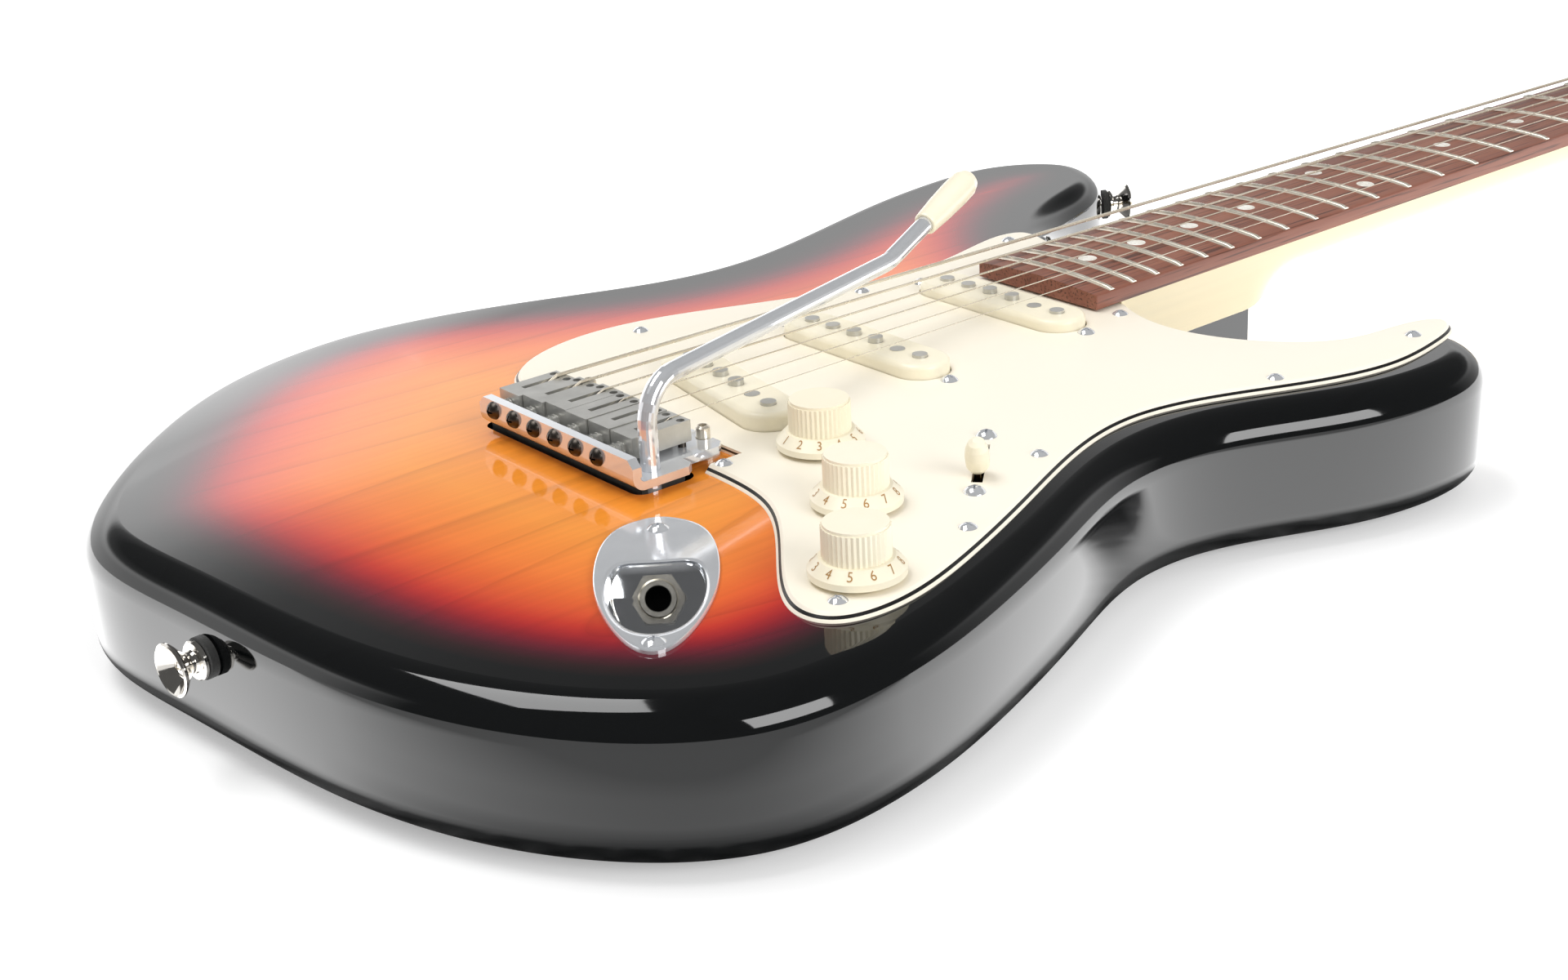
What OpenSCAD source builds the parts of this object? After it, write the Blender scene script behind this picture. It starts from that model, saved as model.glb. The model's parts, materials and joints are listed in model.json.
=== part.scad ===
// Solid-body electric guitar with a two-point tremolo, three single-coil pickups and a bolt-on neck.
// It lies on its back: X runs along the strings towards the headstock, Y to the bass side, Z up.
// X = 0 is the scale line at the bridge and Z = 0 is the plane that the back cover rests on.

/* [Scale and neck] */
// string length from the nut to the scale line
scale_len = 647.7; // [640:0.1:655]
// width of the neck at the nut
nut_w = 42.8; // [41:0.1:44]
// width of the neck at its heel
heel_w = 55; // [54:0.1:56.5]
// distance from the scale line to the end of the neck pocket
pocket_x = 185.6; // [184:0.1:187]
// length of the neck pocket
pocket_len = 70; // [64:1:74]
// depth of the neck pocket
pocket_depth = 15.9; // [15:0.1:17]
// thickness of the fingerboard at its centre
board_t = 6.35; // [6:0.05:7]
// fingerboard radius
board_r = 241; // [184:1:305]
// number of frets
fret_count = 22; // [21:1:22]
// width of a fret crown, which is twice its height
fret_w = 2.2; // [1.8:0.1:2.6]
// how far the fingerboard runs past the heel
overhang = 12; // [11.5:0.1:14]
// greatest thickness of the neck wood behind the board
shaft_t = 15.4; // [14:0.1:16.5]
// thickness of the headstock
head_t = 14.3; // [13:0.1:15]
// drop from the top of the board to the headstock face
head_drop = 9.5; // [9:0.1:10.5]
// thickness of the nut along the strings
nut_t = 3.4; // [3:0.1:4]

/* [Body] */
// thickness of the body
body_t = 44.45; // [42:0.05:46]
// radius of the rounded edges
edge_r = 11; // [8:0.5:12]
// depth of the forearm contour at the edge
arm_cut = 6.5; // [3:0.5:9]
// how far the forearm contour reaches in from the edge
arm_cut_w = 68; // [50:1:75]
// depth of the belly cut at the edge
belly_cut = 13; // [6:0.5:16]
// how far the belly cut reaches in from the edge
belly_cut_w = 44; // [30:1:50]
// depth of the pickup cavities
pickup_rout = 17; // [16.5:0.5:20]
// depth of the control cavity
control_rout = 34; // [32:0.5:38]
// depth of the spring cavity in the back
spring_rout = 17; // [16:0.5:18]

/* [Pickguard and controls] */
// thickness of the three-ply pickguard
guard_t = 2.3; // [2:0.1:2.6]
// radius of a pickguard screw head
guard_head_r = 2.6; // [2.3:0.1:3]
// radius of a knob skirt
skirt_r = 12.7; // [12:0.1:13]
// radius of a knob barrel
barrel_r = 9; // [8.6:0.1:9.4]
// height of a knob
knob_h = 13.8; // [13:0.1:15]
// gap between the pickguard and a knob
knob_gap = 1.3; // [1.2:0.1:2.5]
// radius of a potentiometer housing
pot_r = 11.4; // [8:0.1:11.6]
// ribs round a knob
knob_ribs = 40; // [30:2:48]
// radius of a potentiometer shaft
shaft_r = 3; // [2.9:0.05:3.1]
// spacing of the switch screws
switch_pitch = 41.3; // [40:0.1:42]

/* [Pickups] */
// place of the neck pickup
neck_pickup_x = 157; // [155:0.5:159]
// place of the middle pickup
middle_pickup_x = 97; // [95:0.5:99]
// place of the bridge pickup
bridge_pickup_x = 42; // [41:0.5:43]
// slant of the bridge pickup
slant = 11; // [9:0.5:12]
// length of a pickup cover
cover_len = 70; // [69:0.5:71]
// width of a pickup cover
cover_w = 18.4; // [18:0.1:18.8]
// spacing of the pole pieces
pole_pitch = 10.3; // [10:0.1:10.5]
// radius of a pole piece
pole_r = 2.4; // [2.3:0.05:2.45]
// half the spacing of the pickup screws
pickup_screw_y = 38.85; // [38.5:0.05:39.5]

/* [Tremolo] */
// spacing of the strings at the bridge
bridge_pitch = 10.5; // [10.3:0.05:10.6]
// place of the pivot studs
stud_x = 10.5; // [10:0.1:11]
// spacing of the pivot studs
stud_pitch = 56.4; // [56:0.1:57]
// thickness of the bridge plate
plate_t = 2.5; // [2.2:0.1:2.6]
// gap between the body and the bridge plate
plate_gap = 3; // [2.9:0.1:3.2]
// height of the rear lip above the underside of the plate
lip_h = 9.2; // [9:0.1:9.6]
// length of a saddle
saddle_len = 20.5; // [19:0.1:21]
// height of a saddle
saddle_h = 6; // [5.5:0.1:6.2]
// width of the inertia block
block_w = 76; // [74:0.5:77]
// height of the inertia block
block_h = 40; // [37:0.5:41]
// thickness of the tremolo arm
arm_d = 5.6; // [5:0.1:5.8]
// height of the first bend of the arm above the body
arm_h = 30; // [27:0.5:34]
// run of the arm from its first bend to its second
arm_run = 125.8; // [120:0.1:130]
// length of the arm past its second bend
arm_end = 52.5; // [50:0.5:60]
// turn of the arm away from the strings at rest
arm_turn = 16; // [10:1:20]

/* [Fits] */
// clearance of a turning fit, on the radius
run_gap = 0.05; // [0.03:0.01:0.08]
// clearance of a fixed fit, on the radius
fit_gap = 0.05; // [0.03:0.01:0.08]
// gap left between pieces that rest on each other
seat_gap = 0.02; // [0.01:0.01:0.05]

/* [Output] */
// the piece to draw

/* [Hidden] */
$fn = 48;
back_z = 2.3;
top_z = back_z + body_t;
board_x0 = pocket_x - overhang;
glue_z = top_z - pocket_depth + 19.05;
board_z = glue_z + board_t;
board_cz = board_z - board_r;
heel_x1 = pocket_x + pocket_len;
head_z = board_z - head_drop;
fret_r = fret_w / 2;
nut_pitch = 7.1;
plate_z = top_z + plate_gap;
plate_top = plate_z + plate_t;
pivot_z = plate_z + 0.6;
saddle_z = plate_top + 1.7;
string_z = saddle_z + saddle_h + 0.5;
nut_string_z = board_z + 1.2;
block_x0 = -19;
block_t = 15;
string_x = -9.5;
claw_x = 92;
spring_y = [-21, 0, 21];
claw_z = back_z + spring_rout - 6.5;
lip_x0 = -25;
lip_t = 3;
saddle_x1 = 4;
arm_x = -14.5;
arm_y = 1.5 - block_w / 2;
knob_z = top_z + guard_t + knob_gap;
gauges = [1.17, 0.91, 0.66, 0.43, 0.33, 0.254];
saddle_back = [2.8, 1.6, 0.6, 0.9, 0.3, 0];
rake = [0.3, 0.6, 0.8, 0.8, 0.6, 0.3];
pole_rise = [0.8, 1.0, 1.6, 1.7, 0.15, 0.9];
knobs = [[33.8, -52.7], [13.8, -91.2], [-16.2, -125.7]];
guard_screws = [[60, 70], [10, 46], [212, 52], [137, 47], [178, -34], [224, -115], [165, -109],
    [73, -101], [24, -123.5], [-29, -133], [7, -42]];
pickups = [[neck_pickup_x, 0, 6.2], [middle_pickup_x, 0, 6.8], [bridge_pickup_x, -slant, 7.6]];
switch_mid = [57, -94];
switch_turn = 41.5;
jack_mid = [-53, -90.4];
jack_turn = 52.5;
jack_tilt = 32;
jack_pitch = 68;
stud_y = stud_pitch / 2;
nut_x1 = scale_len + nut_t;
neck_plate_x = pocket_x + 5.9;
plate_screws = [[neck_plate_x + 7.5, 19], [neck_plate_x + 7.5, -19], [neck_plate_x + 57.5, 16],
    [neck_plate_x + 57.5, -16]];
cover_screws = [[-22, 38], [-22, -38], [46, 38], [46, -38], [114, 38], [114, -38]];
post_x0 = nut_x1 + 30.9;
post_pitch = 24.9;
post_slope = -7.1 / 24.9;
post_y0 = 19.8;

// control points of the body outline, clockwise from the tail
body_pts = [[-139, -44], [-143, 6], [-149, 52], [-129, 83], [-96, 122], [-53, 160], [4, 173],
    [46, 151], [84, 128], [126, 116], [170, 126], [214, 140], [254, 147], [292, 148], [322, 120],
    [306, 88], [272, 78], [240, 62], [222, 36], [214, 10], [202, -14], [193, -34], [188, -60],
    [195, -84], [213, -97], [231, -94], [248, -114], [236, -140], [204, -143], [172, -136],
    [134, -116], [98, -115], [60, -132], [20, -148], [-24, -162], [-74, -164], [-111, -129],
    [-131, -86]];

// control points of the pickguard outline, clockwise from the bridge
guard_pts = [[2, -30], [2, 10], [0, 44], [4, 66], [22, 79], [46, 84], [72, 80], [98, 69], [124, 58],
    [152, 51], [184, 54], [212, 63], [228, 58], [222, 40], [214, 20], [200, 0], [193, -20],
    [182, -38], [179, -60], [188, -84], [206, -103], [230, -103], [246, -109], [243, -119],
    [224, -123.5], [200, -127], [172, -119], [142, -104], [113, -96.5], [82, -105], [50, -120],
    [14, -135], [-14, -144], [-36, -142], [-41, -128], [-31, -111], [-14, -91], [-1, -72], [2, -52]];

// control points of the headstock outline, with X counted from the end of the nut
head_pts = [[-1, 8], [3, 20], [11, 33], [33, 34], [93, 16], [149, 0], [177, -3], [189, -18], [179, -36],
    [149, -47], [111, -45], [71, -36], [39, -28], [17, -25], [3, -18], [-1, -6]];

// control points of the jack plate outline, in its own axes
jack_pts = [[44, -2], [38, -13], [20, -17], [-4, -17], [-26, -11], [-40, -4], [-40, 4], [-26, 11],
    [-4, 17], [20, 17], [38, 13], [44, 2]];

strap_spots = [for (u = [0.58, 14.65]) strap_spot(floor(u), u - floor(u))];
strap_z = back_z + body_t / 2 + 7.5;

// a point on a closed cubic spline, and its direction
function spline(p, i, t) = let(n = len(p), a = p[(i + n - 1) % n], b = p[i % n], c = p[(i + 1) % n],
    d = p[(i + 2) % n])
    (pow(1 - t, 3) * a + (3 * pow(t, 3) - 6 * t * t + 4) * b
    + (-3 * pow(t, 3) + 3 * t * t + 3 * t + 1) * c + pow(t, 3) * d) / 6;
function spline_dir(p, i, t) = let(n = len(p), a = p[(i + n - 1) % n], b = p[i % n],
    c = p[(i + 1) % n], d = p[(i + 2) % n])
    (-pow(1 - t, 2) * a + (3 * t * t - 4 * t) * b + (-3 * t * t + 2 * t + 1) * c + t * t * d) / 2;
function curve(p, k) = [for (i = [0:len(p) - 1]) for (j = [0:k - 1]) spline(p, i, j / k)];
function sides(p, k) = [for (i = [0:len(p) - 1]) for (j = [0:k - 1])
    let(v = spline_dir(p, i, j / k)) [-v[1], v[0]] / norm(v)];

// a place on the body outline with the direction that faces outwards there
function strap_spot(i, t) = let(a = spline(body_pts, i, t), v = spline_dir(body_pts, i, t))
    [a[0], a[1], atan2(v[0], -v[1])];

// place of a fret, half the board width, and a swell that runs from 0 to 1 and back
function fret_x(n) = scale_len / pow(2, n / 12);
function half_w(x) = (nut_w + (heel_w - nut_w) * (scale_len - x) / (scale_len - pocket_x)) / 2;
function swell(u, a, b) = u <= a || u >= b ? 0 : pow(sin(180 * (u - a) / (b - a)), 2);
function post_x(i) = post_x0 + post_pitch * i;
function post_y(i) = post_y0 + post_slope * post_pitch * i;
function string_y(i) = bridge_pitch * (2.5 - i);
function nut_y(i) = nut_pitch * (2.5 - i);
function saddle_top(i) = saddle_z + saddle_h + rake[i];

module at_top() {
    translate([0, 0, top_z])
        children();
}

module at_switch() {
    translate([switch_mid[0], switch_mid[1], top_z])
        rotate([0, 0, switch_turn])
            children();
}

module at_jack() {
    translate([jack_mid[0], jack_mid[1], top_z])
        rotate([0, 0, jack_turn])
            children();
}

// the jack sits in a slanted cup: X then runs down along the plug
module at_plug() {
    at_jack()
        translate([8.5, 0, -7.8])
            rotate([0, jack_tilt, 0])
                children();
}

module at_pickup(p) {
    translate([p[0], 0, top_z])
        rotate([0, 0, p[1]])
            children();
}

// a solid swept through rings of equal length, each a list of points
module loft(rings) {
    n = len(rings[0]);
    m = len(rings);
    walls = [for (k = [0:m - 2]) for (i = [0:n - 1]) let(j = (i + 1) % n)
        each [[k * n + j, (k + 1) * n + j, (k + 1) * n + i], [k * n + j, (k + 1) * n + i, k * n + i]]];
    floor_face = [for (i = [n - 1:-1:0]) i];
    roof_face = [for (i = [0:n - 1]) (m - 1) * n + i];
    polyhedron(points = [for (r = rings) each r], faces = concat([floor_face], walls, [roof_face]));
}

// a rim swept through rings and closed on itself, so that it is hollow in the middle
module rim(rings) {
    n = len(rings[0]);
    m = len(rings);
    polyhedron(points = [for (r = rings) each r], faces = [for (k = [0:m - 1]) for (i = [0:n - 1])
        let(j = (i + 1) % n, q = (k + 1) % m)
        each [[k * n + j, q * n + j, q * n + i], [k * n + j, q * n + i, k * n + i]]]);
}

// a bar with round ends and a rounded top edge
module pill(len, w, h, r) {
    for (s = [-1, 1])
        translate([0, s * (len - w) / 2, 0])
            rotate_extrude()
                pill_profile(w, h, r);
    translate([0, (len - w) / 2, 0])
        rotate([90, 0, 0])
            linear_extrude(len - w) {
                pill_profile(w, h, r);
                mirror([1, 0])
                    pill_profile(w, h, r);
            }
}

module pill_profile(w, h, r) {
    square([w / 2 - r, h]);
    square([w / 2, h - r]);
    if (r > 0)
        translate([w / 2 - r, h - r])
            intersection() {
                circle(r);
                square(r);
            }
}

module stadium(len, w, h) {
    linear_extrude(h) {
        square([w, len - w], center = true);
        for (s = [-1, 1])
            translate([0, s * (len - w) / 2])
                circle(w / 2);
    }
}

// a screw with its head on z = 0 and its shank below, slotted crosswise
module dome_screw(head_r, head_h, shank_r, shank_l) {
    difference() {
        union() {
            intersection() {
                cylinder(r = head_r, h = head_h);
                translate([0, 0, head_h - (head_r * head_r + head_h * head_h) / (2 * head_h)])
                    sphere((head_r * head_r + head_h * head_h) / (2 * head_h));
            }
            translate([0, 0, -shank_l])
                cylinder(r = shank_r, h = shank_l + 0.01);
        }
        for (a = [0, 90])
            rotate([0, 0, a])
                translate([-head_r * 0.55, -head_r * 0.1, head_h * 0.4])
                    cube([head_r * 1.1, head_r * 0.2, head_h]);
    }
}

// a trapezoid that follows the taper of the neck between two stations, widened by gap
module neck_plan(x0, x1, gap) {
    polygon([[x0, -half_w(x0) - gap], [x1, -half_w(x1) - gap], [x1, half_w(x1) + gap],
        [x0, half_w(x0) + gap]]);
}

// ---------- body ----------

// the outline drawn in by a distance at each point, at a height at each point
function inset(p, n, s, z) = [for (i = [0:len(p) - 1]) [p[i][0] - n[i][0] * s[i], p[i][1] - n[i][1] * s[i], z[i]]];

module body_shell() {
    k = 3;
    p = curve(body_pts, k);
    n = sides(body_pts, k);
    all = [0:len(p) - 1];
    arm_w = [for (i = all) edge_r + 3 + (arm_cut_w - edge_r) * swell(i / k, 2.6, 8.4)];
    arm_z = [for (i = all) arm_cut * swell(i / k, 2.6, 8.4)];
    belly_w = [for (i = all) edge_r + 3 + (belly_cut_w - edge_r) * swell(i / k, 6.2, 11.2)];
    belly_z = [for (i = all) belly_cut * swell(i / k, 6.2, 11.2)];
    low = [for (a = [1, 0.66, 0.33]) let(s = [for (w = belly_w) edge_r + (w - edge_r) * a])
        inset(p, n, s, [for (i = all) back_z + belly_z[i] * pow(1 - s[i] / belly_w[i], 2)])];
    low_edge = [for (a = [90, 60, 30, 0]) let(s = edge_r * (1 - cos(a)))
        inset(p, n, [for (i = all) s],
            [for (i = all) back_z + belly_z[i] * pow(1 - s / belly_w[i], 2) + edge_r * (1 - sin(a))])];
    top_edge = [for (a = [0, 30, 60, 90]) let(s = edge_r * (1 - cos(a)))
        inset(p, n, [for (i = all) s],
            [for (i = all) top_z - arm_z[i] * pow(1 - s / arm_w[i], 2) - edge_r * (1 - sin(a))])];
    high = [for (a = [0.33, 0.66, 1]) let(s = [for (w = arm_w) edge_r + (w - edge_r) * a])
        inset(p, n, s, [for (i = all) top_z - arm_z[i] * pow(1 - s[i] / arm_w[i], 2)])];
    core = [for (i = all) max(arm_w[i], belly_w[i])];
    rim(concat([inset(p, n, core + [for (i = all) 2], [for (i = all) back_z])], low, low_edge, top_edge, high,
        [inset(p, n, core + [for (i = all) 2], [for (i = all) top_z])]));
    translate([0, 0, back_z])
        linear_extrude(body_t)
            polygon([for (q = inset(p, n, core + [for (i = all) 1], p)) [q[0], q[1]]]);
}

module heel_block() {
    x1 = heel_x1 - fit_gap;
    translate([0, 0, back_z])
        linear_extrude(body_t - pocket_depth)
            polygon([[pocket_x - 30, -half_w(pocket_x)], [x1 - 4, -half_w(x1) + 0.2], [x1, -half_w(x1) + 4],
                [x1, half_w(x1) - 4], [x1 - 4, half_w(x1) - 0.2], [pocket_x - 30, half_w(pocket_x)]]);
}

module pickup_cavities() {
    for (p = pickups)
        at_pickup(p)
            translate([-12, -46, -pickup_rout])
                cube([24, 92, pickup_rout + 1]);
}

module control_cavity() {
    at_top()
        translate([0, 0, -control_rout])
            linear_extrude(control_rout + 1)
                union() {
                    polygon([[24, -40], [50, -40], [62, -62], [84, -64], [84, -86], [52, -110], [34, -115],
                        [4, -126], [-20, -122], [-4, -86], [8, -68]]);
                    for (q = knobs)
                        translate([q[0], q[1]])
                            circle(pot_r + 0.9);
                    translate(switch_mid)
                        rotate(switch_turn)
                            translate([-26, -9.8])
                                square([52, 18]);
                }
}

module tremolo_cavity() {
    translate([0, 0, back_z - 1])
        linear_extrude(body_t + 2)
            hull()
                for (x = [block_x0 - 1.4, block_x0 + block_t - 0.4])
                    for (s = [-1, 1])
                        translate([x, s * (block_w / 2 - 2)])
                            circle(4);
    translate([block_x0, -29, back_z - 1])
        cube([claw_x + 26 - block_x0, 58, spring_rout + 1]);
}

module jack_cavity() {
    at_jack()
        translate([2, 0, -30])
            cylinder(r = 15, h = 31);
    at_jack()
        translate([16, 0, -30])
            cylinder(r = 12, h = 31);
    at_jack()
        translate([-14, 0, -14])
            cylinder(r = 12, h = 15);
}

module body() {
    color([0.32, 0.1, 0.05])
        difference() {
            union() {
                body_shell();
                heel_block();
            }
            at_top()
                translate([0, 0, -pocket_depth])
                    linear_extrude(pocket_depth + 1)
                        neck_plan(pocket_x, heel_x1 + 20, fit_gap);
            pickup_cavities();
            control_cavity();
            tremolo_cavity();
            jack_cavity();
            at_top()
                for (q = guard_screws)
                    translate([q[0], q[1], -10])
                        cylinder(r = 1.4 + fit_gap, h = 11);
            at_jack()
                for (s = [-1, 1])
                    translate([s * jack_pitch / 2, 0, -12])
                        cylinder(r = 1.4 + fit_gap, h = 13);
            at_top()
                for (s = [-1, 1])
                    translate([stud_x, s * stud_y, -22 - fit_gap])
                        cylinder(r = 5 + fit_gap, h = 30);
            for (q = plate_screws)
                translate([q[0], q[1], back_z - 1])
                    cylinder(r = 2 + fit_gap, h = body_t);
            for (q = cover_screws)
                translate([q[0], q[1], back_z - 1])
                    cylinder(r = 1.4 + fit_gap, h = 11);
            for (s = [-1, 1])
                translate([claw_x + 20, s * 12, claw_z])
                    rotate([0, 90, 0])
                        cylinder(r = 1.8 + fit_gap, h = 28);
            for (q = strap_spots)
                at_strap(q)
                    translate([0, 0, -28])
                        cylinder(r = 1.8 + fit_gap, h = 30);
        }
}

// ---------- pickguard ----------

module guard_blank() {
    k = 4;
    p = curve(guard_pts, k);
    n = sides(guard_pts, k);
    b = guard_t * 0.9;
    all = [0:len(p) - 1];
    rim([for (q = [[b + 0.8, 0], [0, 0], [0, guard_t - b], [b, guard_t], [b + 0.8, guard_t]])
        inset(p, n, [for (i = all) q[0]], [for (i = all) top_z + q[1]])]);
    at_top()
        linear_extrude(guard_t)
            polygon([for (i = all) [p[i][0] - n[i][0] * (b + 0.4), p[i][1] - n[i][1] * (b + 0.4)]]);
}

module pickguard() {
    color([0.98, 0.95, 0.88])
        difference() {
            guard_blank();
            translate([-20, -stud_y - 11.3, top_z - 1])
                cube([35.5, 2 * stud_y + 22.6, guard_t + 2]);
            at_top()
                translate([0, 0, -1])
                    linear_extrude(guard_t + 2)
                        neck_plan(pocket_x - fit_gap, heel_x1, 0.3);
            for (p = pickups) {
                at_pickup(p)
                    translate([0, 0, -1])
                        stadium(cover_len + 0.8, cover_w + 0.8, guard_t + 2);
                at_pickup(p)
                    for (s = [-1, 1])
                        translate([0, s * pickup_screw_y, -1])
                            cylinder(r = 1.6, h = guard_t + 2);
            }
            at_top()
                for (q = knobs)
                    translate([q[0], q[1], -1])
                        cylinder(r = 4.7 + fit_gap, h = guard_t + 2);
            at_top()
                for (q = guard_screws) {
                    translate([q[0], q[1], -1])
                        cylinder(r = 1.4 + fit_gap, h = guard_t + 2);
                }
            at_switch() {
                translate([-14, -1.6, -1])
                    cube([28, 3.2, guard_t + 2]);
                for (s = [-1, 1])
                    translate([s * switch_pitch / 2, 0, -1])
                        cylinder(r = 1.6 + fit_gap, h = guard_t + 2);
            }
        }
}

module pickguard_screws() {
    color([0.75, 0.75, 0.74])
        at_top()
            for (q = guard_screws)
                translate([q[0], q[1], guard_t + seat_gap])
                    dome_screw(guard_head_r, 1.2, 1.4, guard_t + 9);
}

// ---------- pickups ----------

module pickup_covers() {
    color([0.93, 0.9, 0.76])
        for (p = pickups)
            at_pickup(p)
                difference() {
                    translate([0, 0, -7.7])
                        pill(cover_len, cover_w, p[2] + 7.7, 1.8);
                    translate([0, 0, -9])
                        stadium(cover_len - 3, cover_w - 3, p[2] + 7.4);
                    for (i = [0:5])
                        translate([0, pole_pitch * (2.5 - i), 0])
                            cylinder(r = pole_r + fit_gap, h = 20);
                }
}

module pickup_bobbins() {
    color([0.12, 0.11, 0.11])
        for (p = pickups)
            at_pickup(p)
                difference() {
                    union() {
                        translate([0, 0, -8])
                            stadium(62, cover_w - 4, p[2] + 6);
                        translate([0, 0, -10.4])
                            stadium(82, 13, 2.6);
                    }
                    for (i = [0:5])
                        translate([0, pole_pitch * (2.5 - i), -12])
                            cylinder(r = pole_r + fit_gap, h = 30);
                    for (s = [-1, 1])
                        translate([0, s * pickup_screw_y, -12])
                            cylinder(r = 1.4 + fit_gap, h = 12);
                }
}

module pole_pieces() {
    color([0.7, 0.7, 0.69])
        for (p = pickups)
            at_pickup(p)
                for (i = [0:5])
                    translate([0, pole_pitch * (2.5 - i), -12.4])
                        cylinder(r = pole_r, h = 12.4 + p[2] + pole_rise[i]);
}

module pickup_screws() {
    color([0.75, 0.75, 0.74])
        for (p = pickups)
            at_pickup(p)
                for (s = [-1, 1])
                    translate([0, s * pickup_screw_y, guard_t + seat_gap])
                        dome_screw(2.8, 1.5, 1.4, 15);
}

// ---------- controls ----------

module knob() {
    difference() {
        union() {
            rotate_extrude()
                polygon([[0, 0], [skirt_r, 0], [skirt_r, 1.8], [skirt_r - 0.5, 2.3],
                    [barrel_r + 0.9, 4.6], [0, 4.6]]);
            linear_extrude(knob_h - 0.8)
                polygon([for (i = [0:2 * knob_ribs - 1]) let(a = 180 * i / knob_ribs,
                    r = barrel_r - 0.35 * (i % 2)) [r * cos(a), r * sin(a)]]);
            cylinder(r = barrel_r - 0.5, h = knob_h);
        }
        translate([0, 0, -1])
            cylinder(r = 7.5, h = 4);
        translate([0, 0, -1])
            cylinder(r = shaft_r + run_gap, h = knob_h - 1.5);
    }
}

module place_knob(i) {
    color([0.94, 0.91, 0.78])
        translate([knobs[i][0], knobs[i][1], knob_z])
            knob();
}

module volume_knob() {
    place_knob(0);
}

module tone_knob_1() {
    place_knob(1);
}

module tone_knob_2() {
    place_knob(2);
}

module potentiometers() {
    color([0.66, 0.64, 0.58])
        for (q = knobs)
            translate([q[0], q[1], top_z]) {
                translate([0, 0, -10])
                    cylinder(r = pot_r, h = 10 - seat_gap);
                translate([0, 0, -1])
                    cylinder(r = 4.7, h = guard_t + 1 + knob_gap);
                cylinder(r = shaft_r, h = knob_z - top_z + knob_h - 3);
            }
}

module switch_frame() {
    color([0.62, 0.6, 0.54])
        at_switch()
            difference() {
                union() {
                    translate([-25, -5, -1.6])
                        cube([50, 10, 1.6 - seat_gap]);
                    translate([-20, -9, -26])
                        cube([40, 3.8, 24.4]);
                    translate([-20, -9, -1.7])
                        cube([40, 5, 1.7 - seat_gap]);
                }
                translate([-14, -1.6, -3])
                    cube([28, 3.2, 4]);
                for (s = [-1, 1])
                    translate([s * switch_pitch / 2, 0, -3])
                        cylinder(r = 1.5, h = 4);
            }
}

// the blade swings in a slot, on a pin below the pickguard
module at_lever() {
    at_switch()
        translate([0, 0, -14])
            rotate([0, -lever_rest, 0])
                children();
}

lever_rest = 25;

module switch_lever() {
    color([0.72, 0.58, 0.3])
        at_lever()
            difference() {
                union() {
                    rotate([90, 0, 0])
                        translate([0, 0, -0.6])
                            cylinder(r = 4, h = 1.2);
                    translate([-1.8, -0.6, 0])
                        cube([3.6, 1.2, 28]);
                    rotate([90, 0, 0])
                        cylinder(r = 1.5, h = 5);
                }
            }
}

module switch_tip() {
    color([0.95, 0.92, 0.8])
        at_lever()
            difference() {
                translate([0, 0, 20.4])
                    switch_cap();
                translate([-1.8 - fit_gap, -0.6 - fit_gap, 0])
                    cube([3.6 + 2 * fit_gap, 1.2 + 2 * fit_gap, 28 + fit_gap]);
            }
}

module switch_cap() {
    rotate_extrude()
        polygon([[0, 0], [2.6, 0], [3.3, 1.4], [3.5, 5], [3.1, 8], [2.3, 10], [1, 10.8], [0, 10.8]]);
}

module switch_screws() {
    color([0.75, 0.75, 0.74])
        at_switch()
            for (s = [-1, 1])
                translate([s * switch_pitch / 2, 0, guard_t + seat_gap])
                    dome_screw(3.2, 1.9, 1.45, guard_t + 5);
}

// ---------- jack ----------

module jack_plate() {
    k = 4;
    p = curve(jack_pts, k);
    color([0.8, 0.82, 0.84])
        difference() {
            union() {
                at_jack()
                    linear_extrude(1.3)
                        polygon([for (q = p) q * 0.97]);
                intersection() {
                    at_plug()
                        translate([-28, 0, 0])
                            rotate([0, 90, 0])
                                stadium(21.4, 19.4, 29.4);
                    at_jack()
                        translate([-40, -20, -25])
                            cube([80, 40, 25.5]);
                }
            }
            at_plug()
                translate([-50, 0, 0])
                    rotate([0, 90, 0])
                        stadium(19, 17, 50);
            at_plug()
                rotate([0, 90, 0])
                    translate([0, 0, -5])
                        cylinder(r = 4.7 + fit_gap, h = 20);
            for (s = [-1, 1])
                at_jack()
                    translate([s * jack_pitch / 2, 0, -2])
                        cylinder(r = 1.4 + fit_gap, h = 5);
        }
}

module jack_socket() {
    color([0.6, 0.6, 0.58])
        at_plug()
            rotate([0, 90, 0])
                difference() {
                    union() {
                        translate([0, 0, -3.6])
                            cylinder(r = 4.7, h = 6);
                        translate([0, 0, 1.4 + seat_gap])
                            cylinder(r = 7, h = 8);
                    }
                    translate([0, 0, -5])
                        cylinder(r = 3.25, h = 13);
                }
}

module jack_nut() {
    color([0.72, 0.7, 0.62])
        at_plug()
            rotate([0, 90, 0])
                translate([0, 0, -2.6 - seat_gap])
                    difference() {
                        cylinder(r = 7.3, h = 2.6, $fn = 6);
                        translate([0, 0, -1])
                            cylinder(r = 4.7 + fit_gap, h = 5);
                    }
}

module jack_screws() {
    color([0.75, 0.75, 0.74])
        at_jack()
            for (s = [-1, 1])
                translate([s * jack_pitch / 2, 0, 1.3 + seat_gap])
                    dome_screw(3, 1.3, 1.4, 12);
}

// ---------- tremolo ----------

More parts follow.
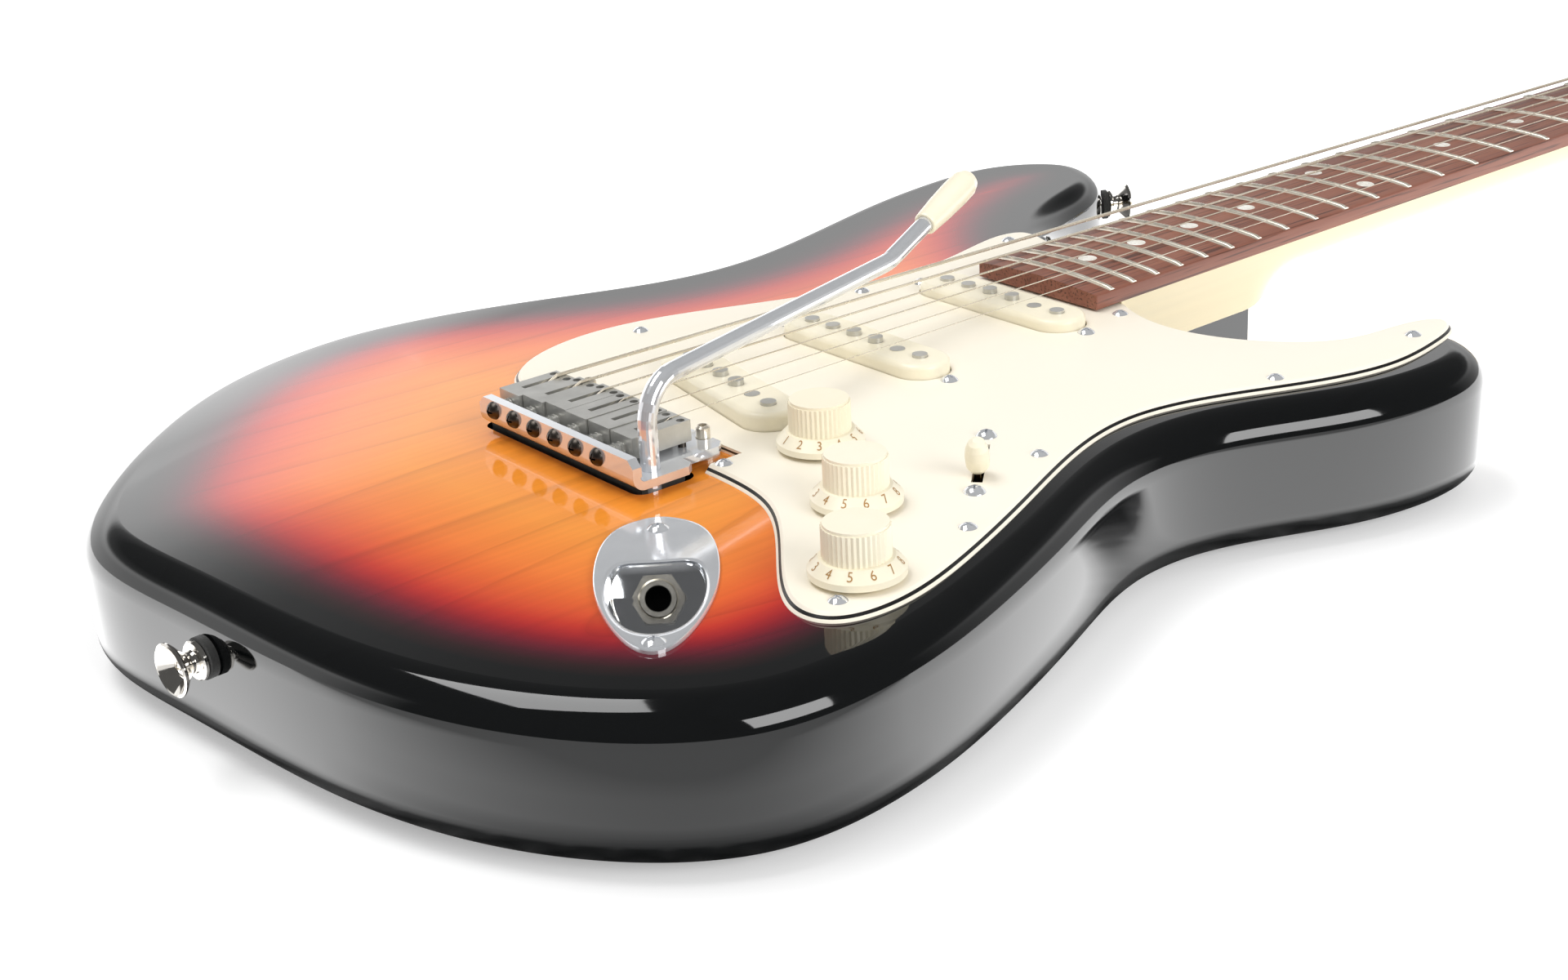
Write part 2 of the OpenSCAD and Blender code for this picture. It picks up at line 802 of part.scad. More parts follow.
module bridge_plate() {
    x1 = stud_x + 1.6;
    color([0.78, 0.8, 0.82])
        difference() {
            union() {
                translate([0, 0, plate_z])
                    linear_extrude(plate_t)
                        polygon([[lip_x0 + 4, -43], [-6, -43], [-3.6, -41], [-3.6, -stud_y - 9],
                            [x1 - 3, -stud_y - 9], [x1, -stud_y - 6], [x1, stud_y + 6], [x1 - 3, stud_y + 9],
                            [-3.6, stud_y + 9], [-8, 34], [lip_x0 + 4, 34]]);
                translate([lip_x0, 34, plate_z])
                    rotate([90, 0, 0])
                        linear_extrude(77)
                            lip_profile();
            }
            for (s = [-1, 1])
                translate([stud_x, s * stud_y, plate_z - 1])
                    cylinder(r = 2.1 + 0.3, h = plate_t + 2);
            for (s = [-1, 1])
                translate([stud_x, s * stud_y - 2.4, plate_z - 1])
                    cube([4, 4.8, plate_t + 2]);
            for (y = [-43, 34])
                translate([lip_x0 - 1, y, plate_z + lip_h])
                    rotate([45, 0, 0])
                        translate([0, -1.6, -1.6])
                            cube([lip_t + 2, 3.2, 3.2]);
            translate([arm_x, arm_y, plate_z - 5])
                cylinder(r = arm_d / 2 + run_gap, h = 20);
            for (i = [0:5])
                translate([string_x, string_y(i), plate_z - 1])
                    cylinder(r = 1.9, h = plate_t + 2);
            for (i = [0:5])
                translate([lip_x0 - 1, string_y(i), plate_z + 6.2])
                    rotate([0, 90, 0])
                        cylinder(r = 1.5 + fit_gap, h = 6);
            for (y = spring_y)
                translate([block_x0 + 3, y, plate_z - 1])
                    cylinder(r = 1.8 + fit_gap, h = plate_t + 2);
        }
}

// the plate bends up into the rear lip with a rounded corner
module lip_profile() {
    difference() {
        union() {
            translate([4, 0])
                square([3, plate_t]);
            translate([0, 4])
                square([lip_t, lip_h - 4]);
            translate([4, 4])
                intersection() {
                    circle(4);
                    translate([-4, -4])
                        square(4);
                }
        }
        translate([4, 4])
            intersection() {
                circle(4 - plate_t);
                translate([-4, -4])
                    square([4, 4]);
            }
    }
}

module saddle(i) {
    len = saddle_len;
    x1 = saddle_x1 - saddle_back[i];
    top = saddle_top(i);
    translate([x1 - len, string_y(i) - bridge_pitch / 2 + 0.1, saddle_z])
        difference() {
            cube([len, bridge_pitch - 0.2, top - saddle_z]);
            translate([5, bridge_pitch / 2 - 0.1 - 1.0, 2.4])
                cube([len - 8, 2, saddle_h + 1]);
            translate([5.5, bridge_pitch / 2 - 0.1 - 1.8, -1])
                cube([9, 3.6, 5]);
            for (s = [-1, 1])
                translate([len - 2.2, bridge_pitch / 2 - 0.1 + s * 3.4, -1])
                    cylinder(r = 1.2 + fit_gap, h = saddle_h + 3);
            translate([-1, bridge_pitch / 2 - 0.1, plate_z + 6.2 - saddle_z])
                rotate([0, 90, 0])
                    cylinder(r = 1.5 + fit_gap, h = 6);
        }
}

module saddles() {
    color([0.76, 0.76, 0.74])
        for (i = [0:5])
            saddle(i);
}

module saddle_height_screws() {
    color([0.35, 0.35, 0.36])
        for (i = [0:5])
            for (s = [-1, 1])
                translate([saddle_x1 - saddle_back[i] - 2.2, string_y(i) + s * 3.4, plate_top + seat_gap])
                    difference() {
                        cylinder(r = 1.2, h = saddle_top(i) - plate_top - 0.9);
                        translate([0, 0, saddle_top(i) - plate_top - 2.2])
                            cylinder(r = 0.6, h = 3, $fn = 6);
                    }
}

module intonation_screws() {
    color([0.3, 0.3, 0.31])
        for (i = [0:5])
            translate([lip_x0 - seat_gap, string_y(i), plate_z + 6.2])
                rotate([0, -90, 0])
                    dome_screw(2.75, 2.1, 1.5, saddle_x1 - saddle_back[i] - saddle_len - lip_x0 + 4.6);
}

module intonation_springs() {
    color([0.5, 0.5, 0.5])
        for (i = [0:5]) {
            x0 = lip_x0 + lip_t + seat_gap;
            x1 = saddle_x1 - saddle_back[i] - saddle_len - seat_gap;
            turns = 3;
            translate([x0, string_y(i), plate_z + 6.2])
                rotate([0, 90, 0])
                    difference() {
                        rotate_extrude()
                            union() {
                                translate([1.6, 0])
                                    square([0.35, x1 - x0]);
                                for (t = [0:turns - 1])
                                    translate([1.6, (x1 - x0) * (t + 0.5) / turns - 0.3])
                                        square([0.75, 0.6]);
                            }
                        translate([0, 0, -1])
                            cylinder(r = 1.55, h = 12);
                    }
        }
}

module pivot_studs() {
    color([0.6, 0.58, 0.55])
        at_top()
            for (s = [-1, 1])
                translate([stud_x, s * stud_y, 0])
                    difference() {
                        union() {
                            translate([0, 0, -18])
                                cylinder(r = 3, h = 18);
                            translate([0, 0, seat_gap])
                                cylinder(r = 4.6, h = 2.4);
                            cylinder(r = 2.1, h = 8.6);
                            translate([0, 0, 8.6])
                                cylinder(r1 = 2.1, r2 = 1.5, h = 0.6);
                        }
                        translate([0, 0, 6.8])
                            cylinder(r = 1.3, h = 4, $fn = 6);
                    }
}

module stud_bushings() {
    color([0.7, 0.7, 0.68])
        at_top()
            for (s = [-1, 1])
                translate([stud_x, s * stud_y, -22])
                    difference() {
                        cylinder(r = 5, h = 22 - seat_gap);
                        translate([0, 0, 3.9])
                            cylinder(r = 3 + fit_gap, h = 30);
                    }
}

module inertia_block() {
    color([0.45, 0.45, 0.44])
        difference() {
            translate([block_x0, -block_w / 2, plate_z - block_h])
                cube([block_t, block_w, block_h - seat_gap]);
            for (i = [0:5]) {
                translate([string_x, string_y(i), plate_z - 16])
                    cylinder(r = 1.5, h = 20);
                translate([string_x, string_y(i), plate_z - block_h - 1])
                    cylinder(r = 2.8, h = block_h - 14);
            }
            translate([arm_x, arm_y, plate_z - 20])
                cylinder(r = arm_d / 2 + run_gap, h = 30);
            for (y = spring_y)
                translate([block_x0 + 3, y, plate_z - 12])
                    cylinder(r = 1.8 + fit_gap, h = 20);
            for (y = spring_y)
                translate([block_x0 + block_t - 4, y, claw_z])
                    rotate([0, 90, 0])
                        cylinder(r = 1.3 + fit_gap, h = 10);
        }
}

module block_screws() {
    color([0.5, 0.5, 0.5])
        for (y = spring_y)
            translate([block_x0 + 3, y, plate_top + seat_gap])
                dome_screw(2.4, 1.2, 1.8, plate_t + 9);
}

// the arm rises out of the plate, bends over the strings and lifts again towards its tip
module at_arm() {
    translate([arm_x, arm_y, top_z])
        rotate([0, 0, arm_turn])
            children();
}

arm_bend_r = 12;
arm_rise = 15.8;
arm_rise_r = 20;
arm_low = -12;

// stations along the arm: place in X and Z, and the slope of the wire there
function arm_path() = let(tangent = arm_rise_r * tan(arm_rise / 2), x2 = arm_run - tangent)
    concat([[0, arm_low, 90]],
    [for (a = [90:-10:0]) [arm_bend_r * (1 - sin(a)), arm_h - arm_bend_r * (1 - cos(a)), a]],
    [for (a = [0:arm_rise / 3:arm_rise]) [x2 + arm_rise_r * sin(a), arm_h + arm_rise_r * (1 - cos(a)), a]],
    [[arm_run + (arm_end - 9.8) * cos(arm_rise), arm_h + (arm_end - 9.8) * sin(arm_rise), arm_rise]]);

module tremolo_arm() {
    r = arm_d / 2;
    color([0.82, 0.84, 0.86])
        at_arm()
            loft([for (q = arm_path()) [for (b = [0:15:345])
                [q[0] + r * cos(b) * sin(q[2]), -r * sin(b), q[1] - r * cos(b) * cos(q[2])]]]);
}

module arm_tip() {
    color([0.95, 0.92, 0.8])
        at_arm()
            translate([arm_run, 0, arm_h])
                rotate([0, 90 - arm_rise, 0])
                    translate([0, 0, arm_end - 29.5])
                        rotate_extrude()
                            difference() {
                                polygon([[0, 0], [3.6, 0], [3.9, 0.6], [4.5, 10], [4.8, 20], [4.7, 25.4],
                                    [3.8, 28.2], [1.8, 29.5], [0, 29.5]]);
                                translate([0, -1])
                                    square([arm_d / 2 + fit_gap, 21]);
                            }
}

module tremolo_springs() {
    len = claw_x - block_x0 - block_t - seat_gap;
    coil = len - 18;
    color([0.7, 0.7, 0.68])
        for (y = spring_y)
            translate([block_x0 + block_t, y, claw_z])
                rotate([0, 90, 0]) {
                    translate([0, 0, -3.4])
                        cylinder(r = 1.3, h = len + 3.4);
                    translate([0, 0, 4])
                        cylinder(r = 3.2, h = coil);
                    for (t = [0:19])
                        translate([0, 0, 4.5 + (coil - 1) * t / 20])
                            cylinder(r = 3.9, h = 1.9);
                }
}

module spring_claw() {
    color([0.7, 0.7, 0.68])
        difference() {
            translate([claw_x, -27, claw_z - 6])
                cube([2, 54, 12]);
            for (s = [-1, 1])
                translate([claw_x - 2, s * 12, claw_z])
                    rotate([0, 90, 0])
                        cylinder(r = 1.8 + fit_gap, h = 6);
        }
}

module claw_screws() {
    color([0.6, 0.6, 0.58])
        for (s = [-1, 1])
            translate([claw_x - seat_gap, s * 12, claw_z])
                rotate([0, -90, 0])
                    dome_screw(3.4, 2, 1.8, 45);
}

// ---------- back ----------

module cover_blank(r) {
    linear_extrude(back_z - seat_gap)
        difference() {
            translate([-27, -43])
                square([147, 86]);
            for (sx = [0, 1])
                for (sy = [-1, 1])
                    translate([-27 + sx * 147, sy * 43])
                        rotate([0, 0, 45])
                            square(r, center = true);
        }
}

module back_cover() {
    color([0.97, 0.95, 0.88])
        difference() {
            cover_blank(8);
            translate([string_x, 0, -1])
                stadium(66, 12, 5);
            for (q = cover_screws)
                translate([q[0], q[1], 0])
                    sunk_hole(2.4, 1.4, 1.1);
        }
}

// a hole whose mouth takes a screw head below the surface
module sunk_hole(head_r, shank_r, depth) {
    translate([0, 0, -1])
        cylinder(r = head_r + 0.2, h = depth + 1);
    translate([0, 0, -1])
        cylinder(r = shank_r + fit_gap, h = 5);
}

module back_cover_screws() {
    color([0.75, 0.75, 0.74])
        for (q = cover_screws)
            translate([q[0], q[1], 1.1 - seat_gap])
                mirror([0, 0, 1])
                    dome_screw(2.4, 1, 1.4, 10);
}

module neck_plate() {
    color([0.8, 0.82, 0.84])
        difference() {
            translate([neck_plate_x, -25.5, 0])
                cube([64, 51, back_z - seat_gap]);
            for (q = plate_screws)
                translate([q[0], q[1], 0])
                    sunk_hole(4, 2, 1.4);
        }
}

module neck_screws() {
    color([0.75, 0.75, 0.74])
        for (q = plate_screws)
            translate([q[0], q[1], 1.4 - seat_gap])
                mirror([0, 0, 1])
                    dome_screw(4, 1.3, 2, body_t - pocket_depth + 13.6);
}

// ---------- neck ----------

function shaft_thick(x) = let(f = (x - heel_x1) / (scale_len - heel_x1)) shaft_t - 1.1 * f;

// a cross-section of the neck: square is near 1 in the pocket and 0 where the hand runs
function shaft_ring(x, top, t, square) = [for (i = [0:12]) let(w = half_w(min(x, scale_len)), a = 15 * i,
    box_y = min(1, max(-1, 3 - i / 2)), box_z = min(1, i / 3, (12 - i) / 3),
    arc_y = sign(cos(a)) * pow(abs(cos(a)), 0.87), arc_z = pow(sin(a), 0.87))
    [x, w * (square * box_y + (1 - square) * arc_y), top - t * (square * box_z + (1 - square) * arc_z)]];

module neck_shaft() {
    deep = 19.05 - seat_gap;
    heel = [[pocket_x + fit_gap, 0, deep, 0.98], [heel_x1 - 6, 0, deep, 0.98], [heel_x1 + 2, 0, 18.9, 0.85],
        [heel_x1 + 10, 0, 18, 0.5], [heel_x1 + 20, 0, 16.6, 0.2], [heel_x1 + 32, 0, shaft_thick(heel_x1 + 32), 0]];
    even = [for (f = [0.25, 0.5, 0.75, 0.93]) let(x = heel_x1 + 32 + f * (scale_len - heel_x1 - 32))
        [x, 0, shaft_thick(x), 0]];
    drop = glue_z - head_z;
    scoop = [[nut_x1 + 1, 0, 14.8, 0.05], [nut_x1 + 7, 0.45 * drop, 14.2, 0.15],
        [nut_x1 + 14, 0.8 * drop, 13.6, 0.3], [nut_x1 + 22, drop + 0.4, 12.6, 0.4]];
    loft([for (s = concat(heel, even, scoop)) shaft_ring(s[0], glue_z - s[1], s[2], s[3])]);
}

module headstock() {
    p = curve(head_pts, 5);
    translate([nut_x1, 0, head_z - head_t])
        linear_extrude(head_t)
            polygon(p);
}

module neck() {
    color([0.93, 0.82, 0.6])
        difference() {
            union() {
                neck_shaft();
                headstock();
            }
            for (q = plate_screws)
                translate([q[0], q[1], 0])
                    cylinder(r = 2 + fit_gap, h = back_z + body_t - pocket_depth + 13.4);
            for (i = [0:5])
                translate([post_x(i), post_y(i), head_z - head_t - 1])
                    cylinder(r = 4.9, h = head_t + 2);
            for (q = tree_spots)
                translate([q[0], q[1], head_z - 9])
                    cylinder(r = 1.2 + fit_gap, h = 12);
        }
}

tree_spots = [[nut_x1 + 90.9, -14.6], [nut_x1 + 56.9, -0.4]];
tree_w = 5;
tree_h = 3.2;

module fingerboard() {
    x1 = scale_len - seat_gap;
    color([0.28, 0.15, 0.1])
        difference() {
            intersection() {
                translate([0, 0, glue_z + seat_gap])
                    linear_extrude(board_t)
                        neck_plan(board_x0, x1, 0);
                translate([board_x0 - 1, 0, board_cz])
                    rotate([0, 90, 0])
                        cylinder(r = board_r, h = x1 - board_x0 + 2, $fn = 720);
            }
            for (q = dot_spots())
                translate([q[0], q[1], board_z - 1.5])
                    cylinder(r = 3.2 + fit_gap, h = 3);
            for (x = side_spots())
                translate([x, half_w(x) - 1.5, glue_z + 2.6])
                    rotate([-90, 0, 0])
                        cylinder(r = 1 + fit_gap, h = 3);
        }
}

function dot_x(n) = (fret_x(n) + fret_x(n - 1)) / 2;
function dot_spots() = concat([for (n = [3, 5, 7, 9, 15, 17, 19, 21]) [dot_x(n), 0]],
    [for (s = [-1, 1]) [dot_x(12), s * 12]]);
function side_spots() = concat([for (n = [3, 5, 7, 9, 15, 17, 19, 21]) dot_x(n)],
    [dot_x(12) - 3, dot_x(12) + 3]);

module frets() {
    color([0.75, 0.74, 0.7])
        for (n = [1:fret_count]) {
            a = asin((half_w(fret_x(n)) - 0.8) / board_r);
            translate([fret_x(n), 0, board_cz])
                rotate([0, 90, 0])
                    rotate_extrude(angle = 2 * a, start = 180 - a, $fn = 720)
                        translate([board_r + seat_gap, 0])
                            intersection() {
                                circle(fret_r);
                                translate([0, -fret_r])
                                    square([fret_r, 2 * fret_r]);
                            }
        }
}

module inlays() {
    color([0.93, 0.92, 0.88]) {
        for (q = dot_spots())
            intersection() {
                translate([q[0], q[1], board_z - 1.5 + seat_gap])
                    cylinder(r = 3.2, h = 3);
                translate([q[0] - 5, 0, board_cz])
                    rotate([0, 90, 0])
                        cylinder(r = board_r, h = 10, $fn = 720);
            }
        for (x = side_spots())
            translate([x, half_w(x) - 1.5 + seat_gap, glue_z + 2.6])
                rotate([-90, 0, 0])
                    cylinder(r = 1, h = 1.5);
    }
}

module nut() {
    color([0.93, 0.9, 0.8])
        difference() {
            translate([scale_len, -nut_w / 2 + 0.3, glue_z + seat_gap])
                cube([nut_t, nut_w - 0.6, nut_string_z - glue_z + 0.6]);
            for (i = [0:5])
                translate([scale_len - 1, nut_y(i), nut_string_z + gauges[i] / 2])
                    rotate([0, 90, 0])
                        cylinder(r = gauges[i] / 2 + 0.02, h = nut_t + 2);
            for (i = [0:5])
                translate([scale_len - 1, nut_y(i) - gauges[i] / 2 - 0.02, nut_string_z + gauges[i] / 2])
                    cube([nut_t + 2, gauges[i] + 0.04, 2]);
        }
}

module string_trees() {
    color([0.75, 0.75, 0.74])
        for (q = tree_spots)
            translate([q[0], q[1], head_z]) {
                translate([0, 0, -8])
                    cylinder(r = 1.2, h = 12);
                translate([0, 0, seat_gap])
                    cylinder(r = 1.9, h = tree_h + 0.4);
                translate([-tree_w / 2, -5, tree_h])
                    cube([tree_w, 10, 1]);
                translate([0, 0, tree_h + 0.8])
                    cylinder(r = 2.2, h = 1);
            }
}

// ---------- tuners ----------

// each tuner sits square to the edge of the headstock
tuner_turn = atan(post_slope);

module at_tuner(i) {
    translate([post_x(i), post_y(i), head_z])
        rotate([0, 0, tuner_turn])
            children();
}

module tuner_housings() {
    color([0.75, 0.76, 0.77])
        for (i = [0:5])
            at_tuner(i)
                difference() {
                    union() {
                        translate([-7, -8, -head_t - 11])
                            cube([14, 19, 11 - seat_gap]);
                        translate([0, 0, -head_t - 1])
                            cylinder(r = 4.85, h = head_t + 2.2);
                        translate([0, 11, -head_t - 5.5])
                            rotate([-90, 0, 0])
                                cylinder(r = 3.4, h = 5);
                    }
                    translate([0, 0, -head_t - 8])
                        cylinder(r = 3 + run_gap, h = head_t + 20);
                    translate([0, -2, -head_t - 5.5])
                        rotate([-90, 0, 0])
                            cylinder(r = 1.8 + run_gap, h = 30);
                }
}

module tuner_post(i) {
    color([0.78, 0.79, 0.8])
        at_tuner(i)
            difference() {
                union() {
                    translate([0, 0, -head_t - 3.4])
                        cylinder(r = 3, h = head_t + 3.4 + 4.4);
                    translate([0, 0, 4.4])
                        cylinder(r = 2.6, h = 5);
                    translate([0, 0, 9.4])
                        cylinder(r = 3, h = 3.6);
                }
                translate([-0.7, -5, 8.4])
                    cube([1.4, 10, 6]);
            }
}

module tuner_button(i) {
    color([0.78, 0.79, 0.8])
        at_tuner(i)
            translate([0, 0, -head_t - 5.5])
                rotate([-90, 0, 0]) {
                    translate([0, 0, 5])
                        cylinder(r = 1.8, h = 19);
                    translate([0, 0, 17])
                        cylinder(r = 2.6, h = 4);
                    translate([0, 0, 29])
                        rotate([0, 90, 0])
                            translate([0, 0, -2.6])
                                stadium(17, 15, 5.2);
                }
}

module tuner_post_1() { tuner_post(0); }
module tuner_post_2() { tuner_post(1); }
module tuner_post_3() { tuner_post(2); }
module tuner_post_4() { tuner_post(3); }
module tuner_post_5() { tuner_post(4); }
module tuner_post_6() { tuner_post(5); }
module tuner_button_1() { tuner_button(0); }
module tuner_button_2() { tuner_button(1); }
module tuner_button_3() { tuner_button(2); }
module tuner_button_4() { tuner_button(3); }
module tuner_button_5() { tuner_button(4); }
module tuner_button_6() { tuner_button(5); }

// ---------- strings ----------

// a wire through points that run mostly in the X-Z plane, with mitred corners
module wire(path, r) {
    m = len(path) - 1;
    d = [for (k = [0:m - 1]) (path[k + 1] - path[k]) / norm(path[k + 1] - path[k])];
    loft([for (k = [0:m]) let(a = d[max(0, k - 1)], b = d[min(k, m - 1)], t = (a + b) / norm(a + b),
        c = cross([0, 1, 0], t), u = c / norm(c), v = cross(t, u), mitre = r / sqrt((1 + a * b) / 2))
        [for (g = [0:22.5:350]) path[k] + mitre * cos(g) * u - r * sin(g) * v]]);
}

module string(i) {
    r = gauges[i] / 2;
    low = [string_x, string_y(i), plate_z - 16];
    up = [string_x, string_y(i), saddle_z + 3.2];
    over = [saddle_x1 - saddle_back[i] - 3.2, string_y(i), saddle_top(i) + r + seat_gap];
    rest = [scale_len - 0.5, nut_y(i), nut_string_z + r];
    past = [scale_len + nut_t + 0.5, nut_y(i), nut_string_z + r];
    tie = [post_x(i), post_y(i) - 2.7 - r - 0.1, head_z + 6.6 - r];
    tree = i < 2 ? [] : [for (e = [-0.8, 0.8]) let(x = tree_spots[i < 4 ? 1 : 0][0] + e * tree_w,
        f = (x - past[0]) / (tie[0] - past[0]))
        [x, past[1] + f * (tie[1] - past[1]), head_z + tree_h - r - 3 * seat_gap]];
    path = concat([low, up, over, rest, past], tree, [tie]);
    wire(path, r);
    translate([string_x, string_y(i), plate_z - 15 - 4 - seat_gap])
        cylinder(r = 2, h = 4);
}

module strings() {
    color([0.8, 0.78, 0.74])
        for (i = [0:5])
            string(i);
}

// ---------- strap buttons ----------

module at_strap(q) {
    translate([q[0], q[1], strap_z])
        rotate([0, 0, q[2]])
            rotate([0, 90, 0])
                children();
}

module strap_buttons() {
    color([0.78, 0.77, 0.74])
        for (q = strap_spots)
            at_strap(q)
                translate([0, 0, 3])
                    rotate_extrude()
                        polygon([[1.9, 0], [5.1, 0], [5.4, 0.4], [5.4, 1.2], [5, 1.6], [3.3, 1.8], [3, 2.4],
                            [3, 3.4], [3.5, 4.2], [6.9, 7.2], [7.4, 7.8], [7.4, 8.3], [6.9, 8.7], [6.6, 8.5],
                            [3.5, 5.2], [1.9, 5.2]]);
}

module felt_washers() {
    color([0.08, 0.08, 0.09])
        for (q = strap_spots)
            at_strap(q)
                translate([0, 0, 0.4])
                    difference() {
                        cylinder(r = 5.8, h = 2.3);
                        translate([0, 0, -1])
                            cylinder(r = 1.95, h = 6);
                    }
}

module strap_screws() {
    color([0.7, 0.69, 0.66])
        for (q = strap_spots)
            at_strap(q)
                translate([0, 0, 8.2 + seat_gap])
                    dome_screw(3.1, 1.3, 1.8, 32);
}

body();
pickguard();
pickguard_screws();
pickup_covers();
pickup_bobbins();
pole_pieces();
pickup_screws();
volume_knob();
tone_knob_1();
tone_knob_2();
potentiometers();
switch_frame();
switch_lever();
switch_tip();
switch_screws();
jack_plate();
jack_socket();
jack_nut();
jack_screws();
bridge_plate();
saddles();
saddle_height_screws();
intonation_screws();
intonation_springs();
pivot_studs();
stud_bushings();
inertia_block();
block_screws();
tremolo_arm();
arm_tip();
tremolo_springs();
spring_claw();
claw_screws();
back_cover();
back_cover_screws();
neck_plate();
neck_screws();
neck();
fingerboard();
frets();
inlays();
nut();
string_trees();
tuner_housings();
tuner_post_1();
tuner_post_2();
tuner_post_3();
tuner_post_4();
tuner_post_5();
tuner_post_6();
tuner_button_1();
tuner_button_2();
tuner_button_3();
tuner_button_4();
tuner_button_5();
tuner_button_6();
strings();
strap_buttons();
felt_washers();
strap_screws();
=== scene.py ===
import json
import math

import bpy
import numpy as np
from mathutils import Matrix, Vector, geometry


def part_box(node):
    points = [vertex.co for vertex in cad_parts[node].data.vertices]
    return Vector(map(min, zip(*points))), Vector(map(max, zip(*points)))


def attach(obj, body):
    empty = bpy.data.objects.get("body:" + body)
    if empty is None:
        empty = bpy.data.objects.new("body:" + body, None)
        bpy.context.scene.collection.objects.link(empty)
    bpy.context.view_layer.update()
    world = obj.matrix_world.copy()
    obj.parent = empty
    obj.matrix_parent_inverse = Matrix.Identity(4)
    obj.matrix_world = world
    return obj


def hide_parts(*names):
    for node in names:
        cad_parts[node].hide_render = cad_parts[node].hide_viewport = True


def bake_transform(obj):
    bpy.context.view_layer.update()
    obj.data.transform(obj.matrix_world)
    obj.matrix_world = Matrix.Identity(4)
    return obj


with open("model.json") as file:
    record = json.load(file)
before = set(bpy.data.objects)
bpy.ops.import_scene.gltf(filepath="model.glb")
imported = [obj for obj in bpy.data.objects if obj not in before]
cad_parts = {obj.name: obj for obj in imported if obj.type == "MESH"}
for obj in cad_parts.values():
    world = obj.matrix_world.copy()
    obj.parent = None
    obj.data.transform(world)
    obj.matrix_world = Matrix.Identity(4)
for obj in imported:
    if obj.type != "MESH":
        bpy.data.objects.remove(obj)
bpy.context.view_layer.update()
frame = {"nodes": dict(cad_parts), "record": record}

MM = 0.001

# ---------- sizes, in millimetres, as the CAD part has them ----------

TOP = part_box("body")[1].z / MM
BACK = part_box("body")[0].z / MM
GUARD_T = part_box("pickguard")[1].z / MM - TOP
EDGE_R = 11.0
# the forearm and belly cuts: where they run along the outline, in control points, their reach and depth
ARM_SPAN, ARM_CUT_W, ARM_CUT = (2.6, 8.4), 68, 6.5
BELLY_SPAN, BELLY_CUT_W, BELLY_CUT = (6.2, 11.2), 44, 13
BODY_STEPS = 14
CONTROL_ROUT = 34
PICKUP_ROUT = 17
SPRING_ROUT = 17
POT_R = 12.3
POCKET_X = 185.6
HEEL_X1 = 255.6
GLUE_Z = TOP + 3.15
BOARD_Z = GLUE_Z + 6.35
BOARD_R = 241.0
HEAD_Z = BOARD_Z - 9.5
HEAD_T = 14.3
SCALE = 647.7
NUT_T = 3.4
NUT_W = 42.8
HEEL_W = 55
HEEL_D = 19.03
POCKET_D = 15.9
HEAD_ROUND = 2.2
POST_AT = (682, 19.8)
POST_STEP = (24.9, -7.1)
POST_R = 4.9
FRETS = 22
FRET_R = 1.1
DOT_FRETS = (3, 5, 7, 9, 12, 15, 17, 19, 21)
PICKUPS = [(157, 0), (97, 0), (42, -11)]
DOT_R = 3.2
DOT_12 = 12.0
KNOBS = [(33.8, -52.7), (13.8, -91.2), (-16.2, -125.7)]
# degrees at which each knob's figure 5 stands
KNOB_TURNS = {"volume_knob": -71.5, "tone_knob_1": -148, "tone_knob_2": -140}
SWITCH = (57, -94, 41.5)
JACK = (-53, -90.4, 52.5)
PLUG = (8.5, -7.8, math.radians(32))
PLATE_PTS = [(44, -2), (38, -13), (20, -17), (-4, -17), (-26, -11), (-40, -4), (-40, 4), (-26, 11),
             (-4, 17), (20, 17), (38, 13), (44, 2)]
CUP_PTS = [(4, 9.5), (10.8, 9.9), (13.2, 3.5), (12.2, -4), (7.5, -11), (0, -12.8), (-7.5, -11), (-12.2, -4),
           (-13.2, 3.5), (-10.8, 9.9), (-4, 9.5)]
BLOCK_ROUT = (-24.4, -0.4)
# millimetres that make 1 in the fields burst and clear
FIELD = 100
PLATE_T = 1.3
NUT_FLAT = 6.32
NUT_CHAMFER_R = 6.9
BORE_R = 4.85
PLATE_SCREW = 34
SKIRT_MID = (11.05, 3.45)
FIGURE_H = 2.7
FIGURE_PROUD = 0.08
GUARD_SCREWS = [(60, 70), (10, 46), (212, 52), (137, 47), (178, -34), (224, -115), (165, -109),
                (73, -101), (24, -123.5), (-29, -133), (7, -42)]

BODY_PTS = [(-139, -44), (-143, 6), (-149, 52), (-129, 83), (-96, 122), (-53, 160), (4, 173),
            (46, 151), (84, 128), (126, 116), (170, 126), (214, 140), (254, 147), (292, 148),
            (322, 120), (306, 88), (272, 78), (240, 62), (222, 36), (214, 10), (202, -14),
            (193, -34), (188, -60), (195, -84), (213, -97), (231, -94), (248, -114), (236, -140),
            (204, -143), (172, -136), (134, -116), (98, -115), (60, -132), (20, -148), (-24, -162),
            (-74, -164), (-111, -129), (-131, -86)]
GUARD_PTS = [(2, -30), (2, 10), (0, 44), (4, 66), (22, 79), (46, 84), (72, 80), (98, 69), (124, 58),
             (152, 51), (184, 54), (212, 63), (228, 58), (222, 40), (214, 20), (200, 0), (193, -20),
             (182, -38), (179, -60), (188, -84), (206, -103), (230, -103), (246, -109), (243, -119),
             (224, -123.5), (200, -127), (172, -119), (142, -104), (113, -96.5), (82, -105),
             (50, -120), (14, -135), (-14, -144), (-36, -142), (-41, -128), (-31, -111), (-14, -91),
             (-1, -72), (2, -52)]
HEAD_PTS = [(650, 8), (654, 20), (662, 33), (684, 34), (744, 16), (800, 0), (828, -3), (840, -18),
            (830, -36), (800, -47), (762, -45), (722, -36), (690, -28), (668, -25), (654, -18),
            (650, -6)]


def fret_x(n):
    return SCALE / 2 ** (n / 12)


